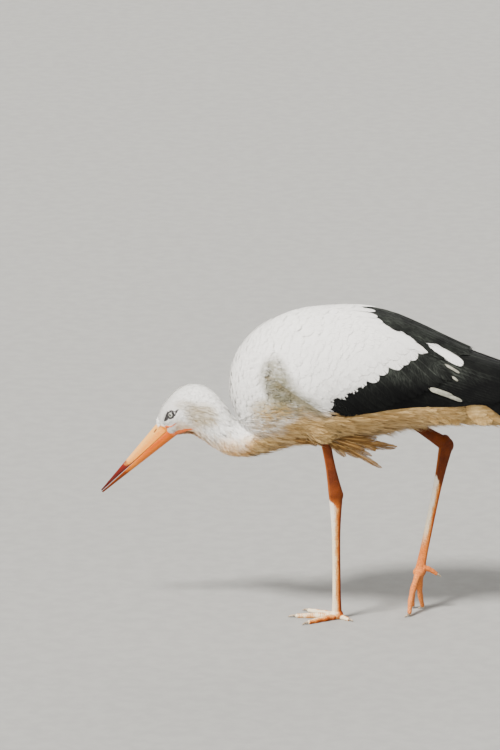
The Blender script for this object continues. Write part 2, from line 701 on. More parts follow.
FLOOR_MATT = mottled(35, 6, 0.35, 0.65, (0.30, 0.30, 0.29), (0.325, 0.325, 0.315),
                     0.85, 0.5, 0.0006, 0.3)
CLAW_HORN = mottled(260, 4, 0.3, 0.7, (0.16, 0.11, 0.07), (0.5, 0.4, 0.28), 0.4, 0.5, 0.0003, 0.4)
FACE_SKIN = mottled(700, 4, 0.35, 0.7, (0.012, 0.011, 0.012), (0.05, 0.045, 0.045),
                    0.45, 0.4, 0.0004, 0.6)
# Name of each look's material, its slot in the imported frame, and how it is built
LOOKS = {
    "floor": ("floor_matt", None, FLOOR_MATT),
    "skin": ("skin_under_feathers", "plumage_white", skin_surface),
    "white": ("white_feathers", "plumage_white", white_coat),
    "black": ("black_feathers", "plumage_black", black_vane),
    "grey": ("grey_feathers", "plumage_white", grey_vane),
    "plume": ("tan_plumes", "plumage_white", plume_vane),
    "bill_upper": ("bill_upper_horn", "bill", bill_horn("upper")),
    "bill_lower": ("bill_lower_horn", "bill", bill_horn("lower")),
    "leg": ("leg_scutes", "leg_skin", leg_scales),
    "claw": ("claw_horn", "claw", CLAW_HORN),
    "face": ("face_skin", "plumage_black", FACE_SKIN),
    "gular": ("gular_skin", "bill", gular_skin),
    "eye_left": ("eye_left_wet", "eye", eye_surface(-1)),
    "eye_right": ("eye_right_wet", "eye", eye_surface(1)),
}
MATERIALS = {look: material(name, build) for look, (name, _, build) in LOOKS.items()}


def finish_piece(piece, look, *nodes):
    """Dresses a piece, and says which nodes it stands for, if any."""
    piece.data.materials.append(MATERIALS[look])
    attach(piece, "root")
    if nodes:
        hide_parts(*nodes)


# ---- Camera, floor and light ----

PIXEL = 1.6             # mm at the bird for one pixel of a 500 px wide view
VIEW_HEIGHT = 750       # pixels
ELEVATION = math.radians(14)
VIEW_CENTRE = np.array([-160.0, 0.0, 396.0])
CAMERA_DISTANCE = 9000.0
SENSOR = 36.0           # mm on the long side
FLOOR_HALF = 9.0        # metres
# Soft lights: the way to each, its strength, spread in degrees and colour
LIGHTS = {
    "key": ((-0.6, -0.62, 1.35), 6.9, 12, (1.0, 0.965, 0.91)),
    "front": ((-1.0, -0.85, 0.4), 2.3, 35, (1.0, 0.97, 0.92)),
    "fill": ((1.0, -1.2, 0.5), 0.5, 40, (1.0, 0.98, 0.95)),
    "rim": ((0.5, 1.4, 1.0), 0.7, 25, (1.0, 0.98, 0.95)),
}
SKY = ((1.0, 0.985, 0.955, 1), 0.55)


def make_camera():
    camera = linked("camera", bpy.data.cameras.new("camera"))
    back = np.array([0, -math.cos(ELEVATION), math.sin(ELEVATION)])
    camera.location = metres(VIEW_CENTRE + CAMERA_DISTANCE * back)
    camera.rotation_euler = (math.pi / 2 - ELEVATION, 0, 0)
    camera.data.sensor_fit = "VERTICAL"
    camera.data.sensor_height = SENSOR
    camera.data.lens = SENSOR * CAMERA_DISTANCE / (VIEW_HEIGHT * PIXEL)
    bpy.context.scene.camera = camera


def make_stage():
    corners = np.array([[-1, -1, 0], [1, -1, 0], [1, 1, 0], [-1, 1, 0]]) * FLOOR_HALF * 1000
    floor = new_mesh("floor", corners - SHIFT * [1, 1, 0], [np.array([[0, 1, 2, 3]])])
    floor.data.materials.append(MATERIALS["floor"])
    world = bpy.data.worlds.new("studio")
    world.use_nodes = True
    background = world.node_tree.nodes["Background"]
    background.inputs["Color"].default_value, background.inputs["Strength"].default_value = SKY
    bpy.context.scene.world = world
    for name, (direction, power, spread, colour) in LIGHTS.items():
        light = bpy.data.lights.new(name, "SUN")
        light.energy = power
        light.color = colour
        light.angle = math.radians(spread)
        lamp = linked(name, light)
        lamp.rotation_euler = Vector(direction).to_track_quat("Z", "Y").to_euler()


# ---- Skin ----

SKIN_VOXEL = 2.6
SKIN_SOFTENING = 7
TRUNK_DEPTH = 5.4       # the coat over the trunk
TAIL_DEPTH = 5.5
THIGH_DEPTH = 6.0
THIGH_RINGS = 20
THIGH_END_RADIUS = 9.5
BED_MARGIN = 1.5        # how far the skin stays below the bed of the wing feathers
# Coat over the neck and head: [neck station, mm]
NECK_DEPTH = np.array([[0, 6], [3, 5.2], [5, 3.8], [7, 2.8], [9, 2.3], [11, 2.0], [13, 1.8]])
# Edge between the white coverts and the black feathers: [degrees up from the widest line, x]
WHITE_EDGE = np.array([
    [-34, -38], [-25, -28], [-13, -27], [-10, -17], [-7, 1], [-3, 11], [0, 21], [11, 45],
    [19, 67], [22, 80], [29, 96], [43, 116], [49, 120], [54, 82], [60, 55], [67, 42], [75, 32],
    [90, 26],
])
# Lower edge of the black, and of the wing in front of it: [x, degrees]
LOWER_EDGE = np.array([
    [-140, 40], [-131, 26], [-120, 11], [-96, -2], [-56, -22], [-30, -31], [-5, -33], [32, -30],
    [80, -26], [128, -19], [168, -9], [198, 3], [222, 4], [232, -10], [242, -24], [253, -30],
    [298, -33], [341, -25], [373, -19], [384, -8],
])
# Depth under the outline of the bed that the wing feathers lie on: [x, mm]
BED = np.array([[-170, 8.5], [112, 8.0], [160, 6.0], [253, 4.2], [341, 2.6], [384, 1.6]])


def section_rings(table, stations, sides, inset):
    """Upright rings of a table of sections. inset gives the depth at (x, degrees)."""
    angle = ring_angles(sides)
    steep = np.degrees(np.arctan2(np.sin(angle), np.abs(np.cos(angle))))
    return np.stack([section(np.repeat(row[None], sides, 0), angle, inset(row[0], steep))
                     for row in rows_at(table, stations)])


def trunk_depth(x, degrees):
    """Depth of the skin: thin under the white coat, deeper where the black feathers lie."""
    behind = x - read_off(WHITE_EDGE, degrees)
    black = smooth((behind + 14) / 12) * smooth((degrees - read_off(LOWER_EDGE, x) + 2) / 5)
    return TRUNK_DEPTH * (1 - black) + (read_off(BED, x) + BED_MARGIN) * black


def neck_rings(stations, sides):
    angle = ring_angles(sides)
    return np.stack([turned(neck_points(np.full(sides, station), angle, read_off(NECK_DEPTH, station)))
                     for station in stations])


def thigh_rings(leg):
    """The thigh from the knee down to where its feathers end."""
    share = np.linspace(0, 1, THIGH_RINGS)
    swell = np.abs(np.sin(np.pi * share ** 0.75)) ** 0.8
    radius = THIGH_END_RADIUS + (leg["width"] - THIGH_END_RADIUS) * swell - THIGH_DEPTH
    radii = np.maximum(radius, 4.0)[:, None] * [DEEPER, NARROWER]
    shown = int(leg["feathered"])
    return limb_rings(between(leg["knee"], leg["cuff"], share)[:shown], radii[:shown], 24)


def make_skin():
    rings = [
        section_rings(TRUNK, np.linspace(0.12, 13, 90), 96, trunk_depth),
        section_rings(TAIL, np.linspace(0, 4.6, 16), 32, lambda x, degrees: TAIL_DEPTH),
        neck_rings(np.linspace(0.3, 13, 80), 40),
    ]
    rings += [thigh_rings(leg) for leg in LEGS.values()]
    return union("skin", [closed_loft(ring) for ring in rings], SKIN_VOXEL, SKIN_SOFTENING)


TRIES = 7               # random spots tried for each root


class Surface:
    """Triangles as a surface that feathers are laid on."""

    def __init__(self, points, triangles):
        self.corners = points[triangles]
        self.points = points
        self.tree = BVHTree.FromPolygons(points.tolist(), triangles.tolist())

    def nearest(self, points):
        """Nearest surface points and their outward normals."""
        found = map(self.tree.find_nearest, points.reshape(-1, 3).tolist())
        found = np.array([(*spot, *normal) for spot, normal, _, _ in found])
        return found[:, :3].reshape(points.shape), found[:, 3:].reshape(points.shape)

    def ray(self, origins, direction):
        """Distances from origins along one direction to the surface; NaN where it is missed."""
        hits = (self.tree.ray_cast(origin, list(direction))[3] for origin in origins.tolist())
        return np.array([np.nan if hit is None else hit for hit in hits])

    def scatter(self, spacing, keep):
        """Roots about a spacing apart, where keep(points) says so."""
        corners = self.corners
        normal = np.cross(corners[:, 1] - corners[:, 0], corners[:, 2] - corners[:, 0])
        area = np.linalg.norm(normal, axis=1) / 2
        area = np.where(keep(corners.mean(1)), area, 0)
        count = int(area.sum() / spacing ** 2 * TRIES)
        c = corners[RNG.choice(len(area), count, p=area / area.sum())]
        a, b = RNG.random((2, count, 1))
        flip = a + b > 1
        a, b = np.where(flip, 1 - a, a), np.where(flip, 1 - b, b)
        spots = c[:, 0] + a * (c[:, 1] - c[:, 0]) + b * (c[:, 2] - c[:, 0])
        _, first = np.unique(np.floor(spots / spacing).astype(int), axis=0, return_index=True)
        return spots[np.sort(first)]


class Sheet:
    """A flat bed for feathers that hang free."""

    def __init__(self, origin, normal):
        self.origin = origin
        self.normal = normal

    def nearest(self, points):
        off = (points - self.origin) @ self.normal
        return points - off[..., None] * self.normal, np.broadcast_to(self.normal, points.shape)


def skin_surface_of(piece):
    piece.data.calc_loop_triangles()
    corners = np.empty(len(piece.data.loop_triangles) * 3, np.int32)
    piece.data.loop_triangles.foreach_get("vertices", corners)
    return Surface(vertex_array(piece.data, "co") * 1000 - SHIFT, corners.reshape(-1, 3))


def make_mantle():
    """Surface under the wing feathers: the body's outline, less the depth of the bed."""
    rings = section_rings(BODY, np.linspace(2.0, 16.9, 120), 96, lambda x, degrees: read_off(BED, x))
    points, (quads, caps) = closed_loft(rings)
    return Surface(points, np.concatenate([quads[:, [0, 1, 2]], quads[:, [0, 2, 3]], caps]))


# ---- Feathers: thin vanes of barbs laid over a surface ----

PATCH = 0.003           # width of one feather's patch on the OFBake map
PIECE_LIMIT = 180000    # triangles in one coat piece
LATERAL = np.array([-1, -0.5, 0, 0.5, 1])
FOLDED_UNDER = 0.2      # cosine between a feather's and the skin's normal where its bed ends
NARROWEST = 0.02        # share of the width left at the tip
BARB_SHADES = 0.06      # spread of shade between the barbs of a feather
SHAFT_NODES = 9
# Barbs on each side, steps along, rows across, shear, grow, tip, loose, gap, camber, ruffle:
# barbs slant by shear, the vane widens until grow and narrows past tip, loose barbs fray the
# edge, gap parts the barbs, camber arches the vane and ruffle lifts single barbs
STYLES = {
    "head": (4, 2, 1, 0.45, 0.35, 0.3, 0.16, 0.16, 0.25, 0.06),
    "forehead": (5, 2, 1, 0.5, 0.35, 0.35, 0.2, 0.15, 0.4, 0.1),
    "fluff": (6, 2, 1, 0.5, 0.35, 0.35, 0.2, 0.15, 0.5, 0.15),
    "ruff": (6, 3, 1, 0.6, 0.3, 0.25, 0.3, 0.2, 0.6, 0.3),
    "beard": (6, 4, 1, 0.7, 0.25, 0.22, 0.35, 0.22, 0.5, 0.3),
    "neck": (6, 3, 2, 0.6, 0.3, 0.25, 0.25, 0.14, 0.5, 0.15),
    "body": (9, 3, 2, 0.4, 0.3, 0.4, 0.07, 0.042, 0.6, 0.071),
    "ruffled": (9, 3, 2, 0.4, 0.3, 0.4, 0.3, 0.18, 0.6, 0.14),
    "thigh": (5, 3, 2, 0.55, 0.3, 0.3, 0.35, 0.22, 0.5, 0.25),
    "belly": (7, 4, 2, 0.5, 0.25, 0.3, 0.35, 0.26, 0.6, 0.3),
    "strands": (7, 4, 1, 0.6, 0.25, 0.25, 0.35, 0.22, 0.8, 0.2),
    "fringe": (5, 4, 1, 0.75, 0.2, 0.2, 0.45, 0.3, 0.4, 0.3),
    "undertail": (18, 4, 3, 0.3, 0.25, 0.55, 0.03, 0.03, 0.8, 0.05),
    "plume": (34, 5, 4, 0.4, 0.4, 0.5, 0.05, 0.03, 1.6, 0.05),
    "coverts": (12, 3, 2, 0.34, 0.3, 0.45, 0.05, 0.04, 0.6, 0.05),
    "front_coverts": (16, 4, 3, 0.34, 0.25, 0.5, 0.05, 0.04, 0.7, 0.05),
    "edge_coverts": (34, 4, 3, 0.3, 0.3, 0.5, 0.02, 0.02, 0.8, 0.03),
    "upper_edge": (16, 4, 3, 0.3, 0.3, 0.42, 0.02, 0.02, 0.7, 0.03),
    "flight": (36, 8, 3, 0.16, 0.16, 0.8, 0.02, 0.02, 0.8, 0.03),
    "greater_coverts": (26, 8, 3, 0.24, 0.16, 0.6, 0.03, 0.02, 0.8, 0.03),
    "scapulars": (30, 8, 3, 0.16, 0.16, 0.7, 0.04, 0.02, 0.8, 0.03),
    "pale": (24, 8, 3, 0.2, 0.25, 0.68, 0.02, 0.02, 0.8, 0.03),
}


def on_tangent(flow, normal):
    return unit(flow - normal * (flow * normal).sum(-1, keepdims=True))


def varied(value, share, count):
    """Values with a normal spread, cut off at 2.2 times the share."""
    limit = 2.2 * share
    return np.broadcast_to(value, count) * (1 + RNG.normal(0, share, count).clip(-limit, limit))


def walk(surface, roots, flow, length, bend, steps):
    """Centre lines over the surface: points, normals and headings of each feather."""
    centre, up = surface.nearest(roots)
    heading = on_tangent(flow, up)
    rows = [(centre, up, heading)]
    turn = np.cos(bend / steps)[:, None], np.sin(bend / steps)[:, None]
    for _ in range(steps):
        centre, up = surface.nearest(centre + heading * (length / steps)[:, None])
        heading = on_tangent(heading, up)
        heading = heading * turn[0] + np.cross(up, heading) * turn[1]
        rows.append((centre, up, heading))
    return [np.stack([row[i] for row in rows], 1) for i in range(3)]


def sample(grid, along, across):
    """Bilinear samples of (count, steps, 5, 3) grids at shares along and across."""
    steps = grid.shape[1] - 1
    i = np.clip(along * steps, 0, steps - 1e-6)
    j = np.clip((across + 1) * 2, 0, 4 - 1e-6)
    i0, j0 = i.astype(int), j.astype(int)
    fi, fj = (i - i0)[..., None], (j - j0)[..., None]
    which = np.arange(len(grid)).reshape((-1,) + (1,) * (along.ndim - 1))
    low, high = (grid[which, i0 + k, j0] * (1 - fj) + grid[which, i0 + k, j0 + 1] * fj
                 for k in (0, 1))
    return low * (1 - fi) + high * fi


def vanes(surface, roots, flow, length, width, lift, style, uv=None, base=0.5, bend=None,
          drift=None, tint=(0.62, 0.18), rachis=0.0, roll=0.0, trim=None, frayed=0.0):
    """Points, UV, tone and quads of one feather at each root.

    Each feather is two vanes of slanted barbs beside its rachis. It starts base above the
    surface, its tip rises by lift and its far end moves by drift.
    """
    barbs, steps, rows, shear, grow, tip, loose, gap, camber, ruffle = STYLES[style]
    loose = loose + 0.12 * frayed
    gap = gap + 0.14 * frayed
    count = len(roots)
    root_uv = body_uv(roots) if uv is None else uv
    bend = np.zeros(count) if bend is None else bend
    base = np.broadcast_to(base, count)
    centres, ups, headings = walk(surface, roots, flow, length, bend, steps)
    sideways = unit(np.cross(ups, headings))
    reach = (width / 2)[:, None, None, None] * LATERAL[None, None, :, None]
    grid = centres[:, :, None] + sideways[:, :, None] * reach
    laid, normals = surface.nearest(grid)
    keep_up = (normals * ups[:, :, None]).sum(-1, keepdims=True) > FOLDED_UNDER
    normals = np.where(keep_up, normals, ups[:, :, None])
    laid = np.where(keep_up, laid, grid)
    if trim is not None:
        laid = trim(laid)

    # Arrays of (feather, side, barb, edge of the barb, place across)
    shape = (count, 2, barbs, 2, rows + 1)
    each_barb = (count, 2, barbs, 1, 1)
    side = np.array([-1.0, 1.0])[None, :, None, None, None]
    barb = np.arange(barbs)[None, None, :, None, None]
    edge = np.array([0.0, 1.0])[None, None, None, :, None]
    q = np.linspace(0, 1, rows + 1)[None, None, None, None, :]
    start = (barb + edge + (0.5 - edge) * 2 * gap * q) / barbs + 0 * side
    outer = shear + (1 - shear) * start
    fray = 1 - loose * RNG.random(each_barb) * q
    along = np.clip((start * (1 - shear) * (1 - q) + outer * q) * fray, 0, 1)
    narrowing = (np.clip(outer - tip, 0, 1) / (1 - tip)) ** 2.2
    profile = np.minimum(1, (outer / grow) ** 0.6) * np.sqrt(np.clip(1 - narrowing, 0, 1))
    profile = np.maximum(profile, NARROWEST) * (1 - loose * RNG.random(each_barb))
    along = np.broadcast_to(along, shape)
    across = np.broadcast_to(np.clip(side * q * profile, -1, 1), shape)
    wave = RNG.normal(0, ruffle, each_barb) * q
    height = (base.reshape(-1, 1, 1, 1, 1) + lift.reshape(-1, 1, 1, 1, 1) * along ** 1.3
              + camber * (1 - across ** 2) * np.sin(np.pi * along) + wave
              + roll * across * np.minimum(1, 3 * along))
    points = sample(laid, along, across) + sample(normals, along, across) * height[..., None]
    if drift is not None:
        points = points + drift.reshape(-1, 1, 1, 1, 1, 3) * (along ** 2)[..., None]
    strip = np.arange(2 * barbs)[:, None, None] * 2 * (rows + 1)
    quads = strip + np.arange(rows)[:, None] + np.array([0, 1, rows + 2, rows + 1])
    quads[:barbs] = quads[:barbs, :, ::-1]
    quads = quads.reshape(-1, 4)
    own = np.clip(RNG.normal(*tint, count), 0, 1)[:, None, None, None, None]
    own = np.clip(own + RNG.normal(0, BARB_SHADES, each_barb), 0, 1)
    tone = np.stack([np.broadcast_to(own, shape), along, np.abs(across),
                     np.broadcast_to(start, shape)], -1)
    uv = np.stack([across, along - 0.5], -1) * [PATCH / 2, PATCH]
    uv = uv + root_uv.reshape(-1, 1, 1, 1, 1, 2)
    made = [array.reshape(count, -1, array.shape[-1]) for array in (points, uv, tone)]
    if rachis == 0:
        return *made, quads
    *shaft, shaft_quads = shafts(laid, normals, base, lift, camber, rachis, root_uv, own)
    quads = np.concatenate([quads, shaft_quads + made[0].shape[1]])
    return *(np.concatenate(pair, 1) for pair in zip(made, shaft)), quads


def shafts(laid, normals, base, lift, camber, thick, root_uv, own):
    """A raised tapering strip along the middle of each feather."""
    count = len(laid)
    share = np.broadcast_to(np.linspace(0, 0.97, SHAFT_NODES)[None, :, None],
                            (count, SHAFT_NODES, 3))
    lane = np.broadcast_to(np.array([-1.0, 0.0, 1.0]), share.shape)
    slim = thick * (1 - 0.75 * share) / 2
    sideways = sample(laid, share, 0 * lane + 0.5) - sample(laid, share, 0 * lane - 0.5)
    height = base[:, None, None] + lift[:, None, None] * share ** 1.3
    height = height + camber * np.sin(np.pi * share) + thick * np.where(lane == 0, 0.55, 0.05)
    points = (sample(laid, share, 0 * lane) + unit(sideways) * (lane * slim)[..., None]
              + sample(normals, share, 0 * lane) * height[..., None])
    shade = np.broadcast_to(own[:, 0, 0, 0, :, None], share.shape)
    tone = np.stack([shade, share, 0 * share, 0 * share - 1], -1)
    uv = np.stack([0 * share, share - 0.5], -1) * PATCH + root_uv[:, None, None]
    flat = [array.reshape(count, -1, array.shape[-1]) for array in (points, uv, tone)]
    return *flat, ring_quads(SHAFT_NODES, 3, closed=False)


def coat_pieces(name, sets, look, *nodes):
    """Objects that hold the feather sets between them, none of them too heavy."""
    batches = [[]]
    load = 0
    for *arrays, quads in sets:
        weight = len(quads) * 2
        first = 0
        while first < len(arrays[0]):
            take = min((PIECE_LIMIT - load) // weight, len(arrays[0]) - first)
            if take > 0:
                batches[-1].append(([array[first:first + take] for array in arrays], quads))
                load += take * weight
                first += take
            if first < len(arrays[0]):
                batches.append([])
                load = 0
    for i, batch in enumerate(batches):
        start = 0
        faces = []
        for (points, _, _), quads in batch:
            offset = start + np.arange(len(points)) * points.shape[1]
            faces.append((quads + offset[:, None, None]).reshape(-1, 4))
            start += len(points) * points.shape[1]
        flat = [np.concatenate([arrays[k].reshape(-1, arrays[k].shape[-1]) for arrays, _ in batch])
                for k in range(3)]
        label = name if len(batches) == 1 else f"{name}_{i + 1}"
        finish_piece(new_mesh(label, flat[0], faces, flat[1], flat[2]), look, *nodes)


# ---- Where feathers grow, and how they lie ----

RAIL_STATIONS = np.linspace(0, 13, 261)
RAIL_ROWS = rows_at(NECK, RAIL_STATIONS)
RAIL_UPPER, RAIL_THROAT = RAIL_ROWS[:, 0:2], RAIL_ROWS[:, 2:4]
RAIL_RADIUS = np.linalg.norm(RAIL_UPPER - RAIL_THROAT, axis=1) / 2
RAIL_REACH = 6          # rail points on each side that give its direction


def upright(places):
    """Points of the turned head and neck at (x, z) in its middle plane."""
    return turned(np.stack([places[:, 0], 0 * places[:, 0], places[:, 1]], 1))


RAIL = upright((RAIL_UPPER + RAIL_THROAT) / 2)
RAIL_UP = unit(upright(RAIL_UPPER) - RAIL)


def neck_flow(near):
    """Towards the body, along the neck."""
    back = np.clip(near - RAIL_REACH, 0, len(RAIL) - 1)
    ahead = np.clip(near + RAIL_REACH, 0, len(RAIL) - 1)
    return unit(RAIL[back] - RAIL[ahead])


def neck_place(points):
    """Neck station, distance in local radii, degrees from the upper line, and rail index."""
    gap = np.linalg.norm(points[:, None] - RAIL[None], axis=2)
    near = (gap / RAIL_RADIUS[None]).argmin(1)
    share = gap[np.arange(len(points)), near] / RAIL_RADIUS[near]
    arm = points - RAIL[near]
    rise = (arm * RAIL_UP[near]).sum(1)
    ahead = (arm * neck_flow(near)).sum(1)
    aside = np.sqrt(np.maximum((arm ** 2).sum(1) - rise ** 2 - ahead ** 2, 0))
    degrees = np.degrees(np.arctan2(aside / RAIL_ROWS[near, 4], rise / RAIL_RADIUS[near]))
    return RAIL_STATIONS[near], share, degrees, near


def body_place(points):
    """Station, height over the widest line, half-width and degrees up, of points of the body."""
    station = np.interp(points[:, 0], BODY[:, 0], np.arange(len(BODY)))
    _, top, bottom, half, mid = rows_at(BODY, station).T
    centre = bottom + mid * (top - bottom)
    rise = points[:, 2] - centre
    reach = np.where(rise > 0, top - centre, centre - bottom)
    half = np.maximum(half, 1)
    angle = np.arctan2(rise / np.maximum(reach, 1), np.abs(points[:, 1]) / half)
    return station, rise, half, np.degrees(angle)


def degrees_up(points):
    return body_place(points)[3]


def above_wing_edge(points, margin):
    """Whether points lie above the lower and front edge of the folded wing."""
    low = read_off(LOWER_EDGE, points[:, 0])
    return (points[:, 0] > LOWER_EDGE[0, 0]) & (degrees_up(points) > low + margin)


GATHER = 7.0            # degrees over which feathers close up along the wing's lower edge


def held_above_edge(points):
    """Bed points of a wing, with those past its lower edge gathered in along it."""
    flat = points.reshape(-1, 3)
    station, _, _, angle = body_place(flat)
    low = read_off(LOWER_EDGE, flat[:, 0])
    over = angle - low
    gathered = np.radians(low + GATHER * np.exp(over / GATHER - 1))
    side = np.where(flat[:, 1] < 0, -1, 1)
    moved = section(rows_at(BODY, station), gathered, read_off(BED, flat[:, 0]), side)
    return np.where((over < GATHER)[:, None], moved, flat).reshape(points.shape)


def past_white_edge(points):
    """Distance in mm behind the edge, along the bird. Positive in the black."""
    return points[:, 0] - read_off(WHITE_EDGE, degrees_up(points))


def is_neck(points):
    """Whether points belong to the neck's own coat, not the body's."""
    station, share, _, _ = neck_place(points)
    return (share < 1.02) & (station > 2.6)


THIGH_TOP = 322.0       # height up to which the feathers are the thigh's own
THIGH_FROM = 0.45       # share of the way from the knee to the cuff where they start


def is_thigh(points):
    """Whether points belong to the thighs' own coat."""
    found = np.zeros(len(points), bool)
    for name, leg in LEGS.items():
        share, _, away = along_line(points, leg["knee"], leg["cuff"])
        near = (share > THIGH_FROM) & (away < leg["width"] * 0.9)
        found |= near & (points[:, 2] < THIGH_TOP) & (points[:, 1] * SIDES[name] > 0)
    return found


BREAST_SOURCE = np.array([-196.0, 0.0, 322.0])     # the body's feathers spread from here
BODY_SLOPE = 0.16       # fall of the feathers along the back of the body


def rearward(slope):
    """Directions towards the tail, falling by a slope."""
    return np.stack([1 + 0 * slope, 0 * slope, -slope], 1)


def body_flow(points):
    """Away from the base of the neck, then back along the body."""
    away = points - BREAST_SOURCE
    share = smooth((np.linalg.norm(away, axis=1, keepdims=True) - 30) / 130)
    back = rearward(np.full(len(points), BODY_SLOPE))
    return unit(unit(away) * (1 - share) + back * share)


def wing_flow(points):
    """Back and down, steeper towards the lower edge of the wing."""
    slope = np.interp(degrees_up(points), [-30, 0, 40, 85], [1.15, 0.95, 0.6, 0.3])
    front = smooth((points[:, 0] + 140) / 130)
    return unit(rearward(0.4 * (1 - front) + slope * front))


def unwrapped(share, around):
    """Place on the skin's unwrap at a share of its length and an angle round it."""
    return np.stack([0.02 + 0.96 * share, 0.5 + 0.48 * around / np.pi], 1)


def body_uv(points):
    station, rise, half, _ = body_place(points)
    return unwrapped(station / (len(BODY) - 1), np.arctan2(rise / 100, points[:, 1] / half))


def neck_uv(points):
    station, _, _, near = neck_place(points)
    arm = points - RAIL[near]
    return unwrapped(station / (len(NECK) - 1), np.arctan2(arm[:, 1], arm[:, 2]))


# Outline of the bare skin round the eye: [degrees, reach], from the rear through up
FACE_OUTLINE = np.array([
    [0, 7.4], [20, 8.4], [27, 12], [36, 30], [45, 13], [54, 8.6], [75, 7.8], [105, 7.8], [130, 8.8],
    [147, 9.6], [170, 10.2], [195, 12.5], [210, 17], [221, 21.5], [230, 16], [239, 10.5],
    [255, 8.0], [280, 7.0], [302, 7.2], [330, 7.2], [360, 7.4],
])


def eye_axes(side):
    """Rows that turn offsets along, outward and up of an eye into the bird's frame."""
    cos, sin = math.cos(TURN_ANGLE), math.sin(TURN_ANGLE)
    return np.array([[cos, -sin, 0], [side * sin, side * cos, 0], [0, 0, 1]])


def from_eye(points, side):
    """Offsets from one eye as if the head weren't turned: along, outward and up."""
    return (points - eye_centre(side)) @ eye_axes(side).T


def to_eye(offsets, side):
    """Points from such offsets."""
    return offsets @ eye_axes(side) + eye_centre(side)


def inside_face(points, margin):
    """Whether points lie on the bare skin round either eye, by a margin in mm."""
    inside = np.zeros(len(points), bool)
    for side in (-1, 1):
        along, outward, up = from_eye(points, side).T
        reach = read_off(FACE_OUTLINE, np.degrees(np.arctan2(up, along)) % 360)
        inside |= (np.hypot(along, up) < reach - margin) & (outward > -12)
    return inside


# ---- Coat of the head, neck, body and thighs ----

# Bare strips of the head: [neck station, degrees from the upper line, half-width]
GULAR = np.array([[11.9, 161, 4.0], [11.3, 161, 6.0], [9.65, 161, 6.4], [8.4, 153, 6.0],
                  [7.75, 145, 5.0], [7.2, 140, 4.2], [6.7, 132, 3.2], [6.2, 126, 2.2],
                  [5.7, 123, 0.7]])
GAPE = np.array([[11.3, 106, 2.8], [10.8, 110, 2.8], [10.2, 117, 2.0], [9.5, 120, 1.2],
                 [8.7, 116, 0.3]])
HEAD_RADIUS = 27.0
# Front limit of the feathers of the head: [degrees from the upper line, neck station]
FEATHER_FRONT = np.array([[0, 12.8], [20, 12.75], [59, 12.5], [72, 12.2], [84, 11.55], [98, 11.2],
                          [110, 10.95], [121, 10.75], [130, 11.2], [137, 11.4], [148, 11.3],
                          [180, 11.4]])


def over_strip(place, line, margin):
    """Whether places of the head lie over a bare strip."""
    station, _, degrees, _ = place
    table = line[::-1]
    width = read_off(table[:, [0, 2]], station) + margin
    inside = (station > table[0, 0]) & (station < table[-1, 0])
    return inside & (np.abs(degrees - read_off(table, station)) < np.degrees(width / HEAD_RADIUS))


def bare_of_feathers(place):
    bare = over_strip(place, GULAR, 0.8) | over_strip(place, GAPE, 0.5)
    return bare | (place[0] > read_off(FEATHER_FRONT, place[2]))


def grown(surface, roots, flow, sizes, style, base=0.5, more_base=0.0, bending=0.0, **shape):
    """Feathers of varied length, width and lift, each size given with its spread."""
    count = len(roots)
    length, width, lift = (varied(value, share, count) for value, share in sizes)
    if more_base:
        base = base + more_base * RNG.random(count)
    if bending:
        shape["bend"] = RNG.normal(0, bending, count)
    return vanes(surface, roots, flow, length, width, lift, style, base=base, **shape)


def scattered(flow, share):
    """Directions with a random part added."""
    return flow + RNG.normal(0, 1, flow.shape) * share


def cover_head(surface):
    """Short feathers of the head, clear of the eyes and of the bare strips."""
    def head(points):
        place = neck_place(points)
        inside = (place[1] < 1.15) & (place[0] >= 6.6)
        return inside & ~bare_of_feathers(place) & ~inside_face(points, 0.2)

    def sized(values, share):
        return varied(np.interp(station, [6.6, 9, 11, 12.7], values), share, len(roots))

    roots = surface.scatter(2.1, head)
    station, _, degrees, near = neck_place(roots)
    throat = smooth((degrees - 118) / 40)
    flow = scattered(neck_flow(near), (0.06 + 0.1 * throat)[:, None])
    length = sized([14, 9, 6.5, 4.4], 0.12) * (1 + 0.5 * throat)
    for _ in range(2):
        ends = roots + flow * length[:, None]
        covers = inside_face(ends, 0.3) | over_strip(neck_place(ends), GAPE, 0.0)
        length = np.where(covers, length * 0.55, length)
    ends = roots + flow * length[:, None]
    clear = ~inside_face(ends, 0.6) & ~over_strip(neck_place(ends), GULAR, -0.6)
    lift = sized([3.2, 2.4, 1.7, 1.3], 0.15) * (1 + throat)
    width = sized([6, 4.6, 3.8, 3.0], 0.1)
    made = [vanes(surface, roots[clear], flow[clear], length[clear], width[clear], lift[clear],
                  "head", neck_uv(roots[clear]), base=0.1, tint=(0.78, 0.07))]
    made.append(forehead_tuft(surface))
    made.append(fluff(surface, 190, (9.0, 11.3), (125, 140), (6.5, 4.0, 2.6)))
    made.append(fluff(surface, 170, (9.5, 11.5), (80, 103), (5.5, 3.6, 2.2)))
    return made


def head_spots(count, stations, degrees):
    """Scattered places on both sides of the head."""
    station = RNG.uniform(*stations, count)
    angle = np.radians(RNG.uniform(*degrees, count)) * np.where(RNG.random(count) < 0.5, -1, 1)
    return turned(neck_points(station, angle, 2.0))


def forehead_tuft(surface):
    """Short feathers that stand forward over the base of the bill."""
    roots = head_spots(130, (12.05, 12.75), (0, 66))
    near = neck_place(roots)[3]
    up, forward = RAIL_UP[near], -neck_flow(near)
    flow = scattered(forward + 0.25 * up, 0.16)
    drift = (forward + 0.35 * up) * varied(2.4, 0.3, len(roots))[:, None]
    sizes = (5.2, 0.2), (3.2, 0.15), (1.6, 0.2)
    return grown(surface, roots, flow, sizes, "forehead", 0.6, uv=neck_uv(roots), drift=drift)


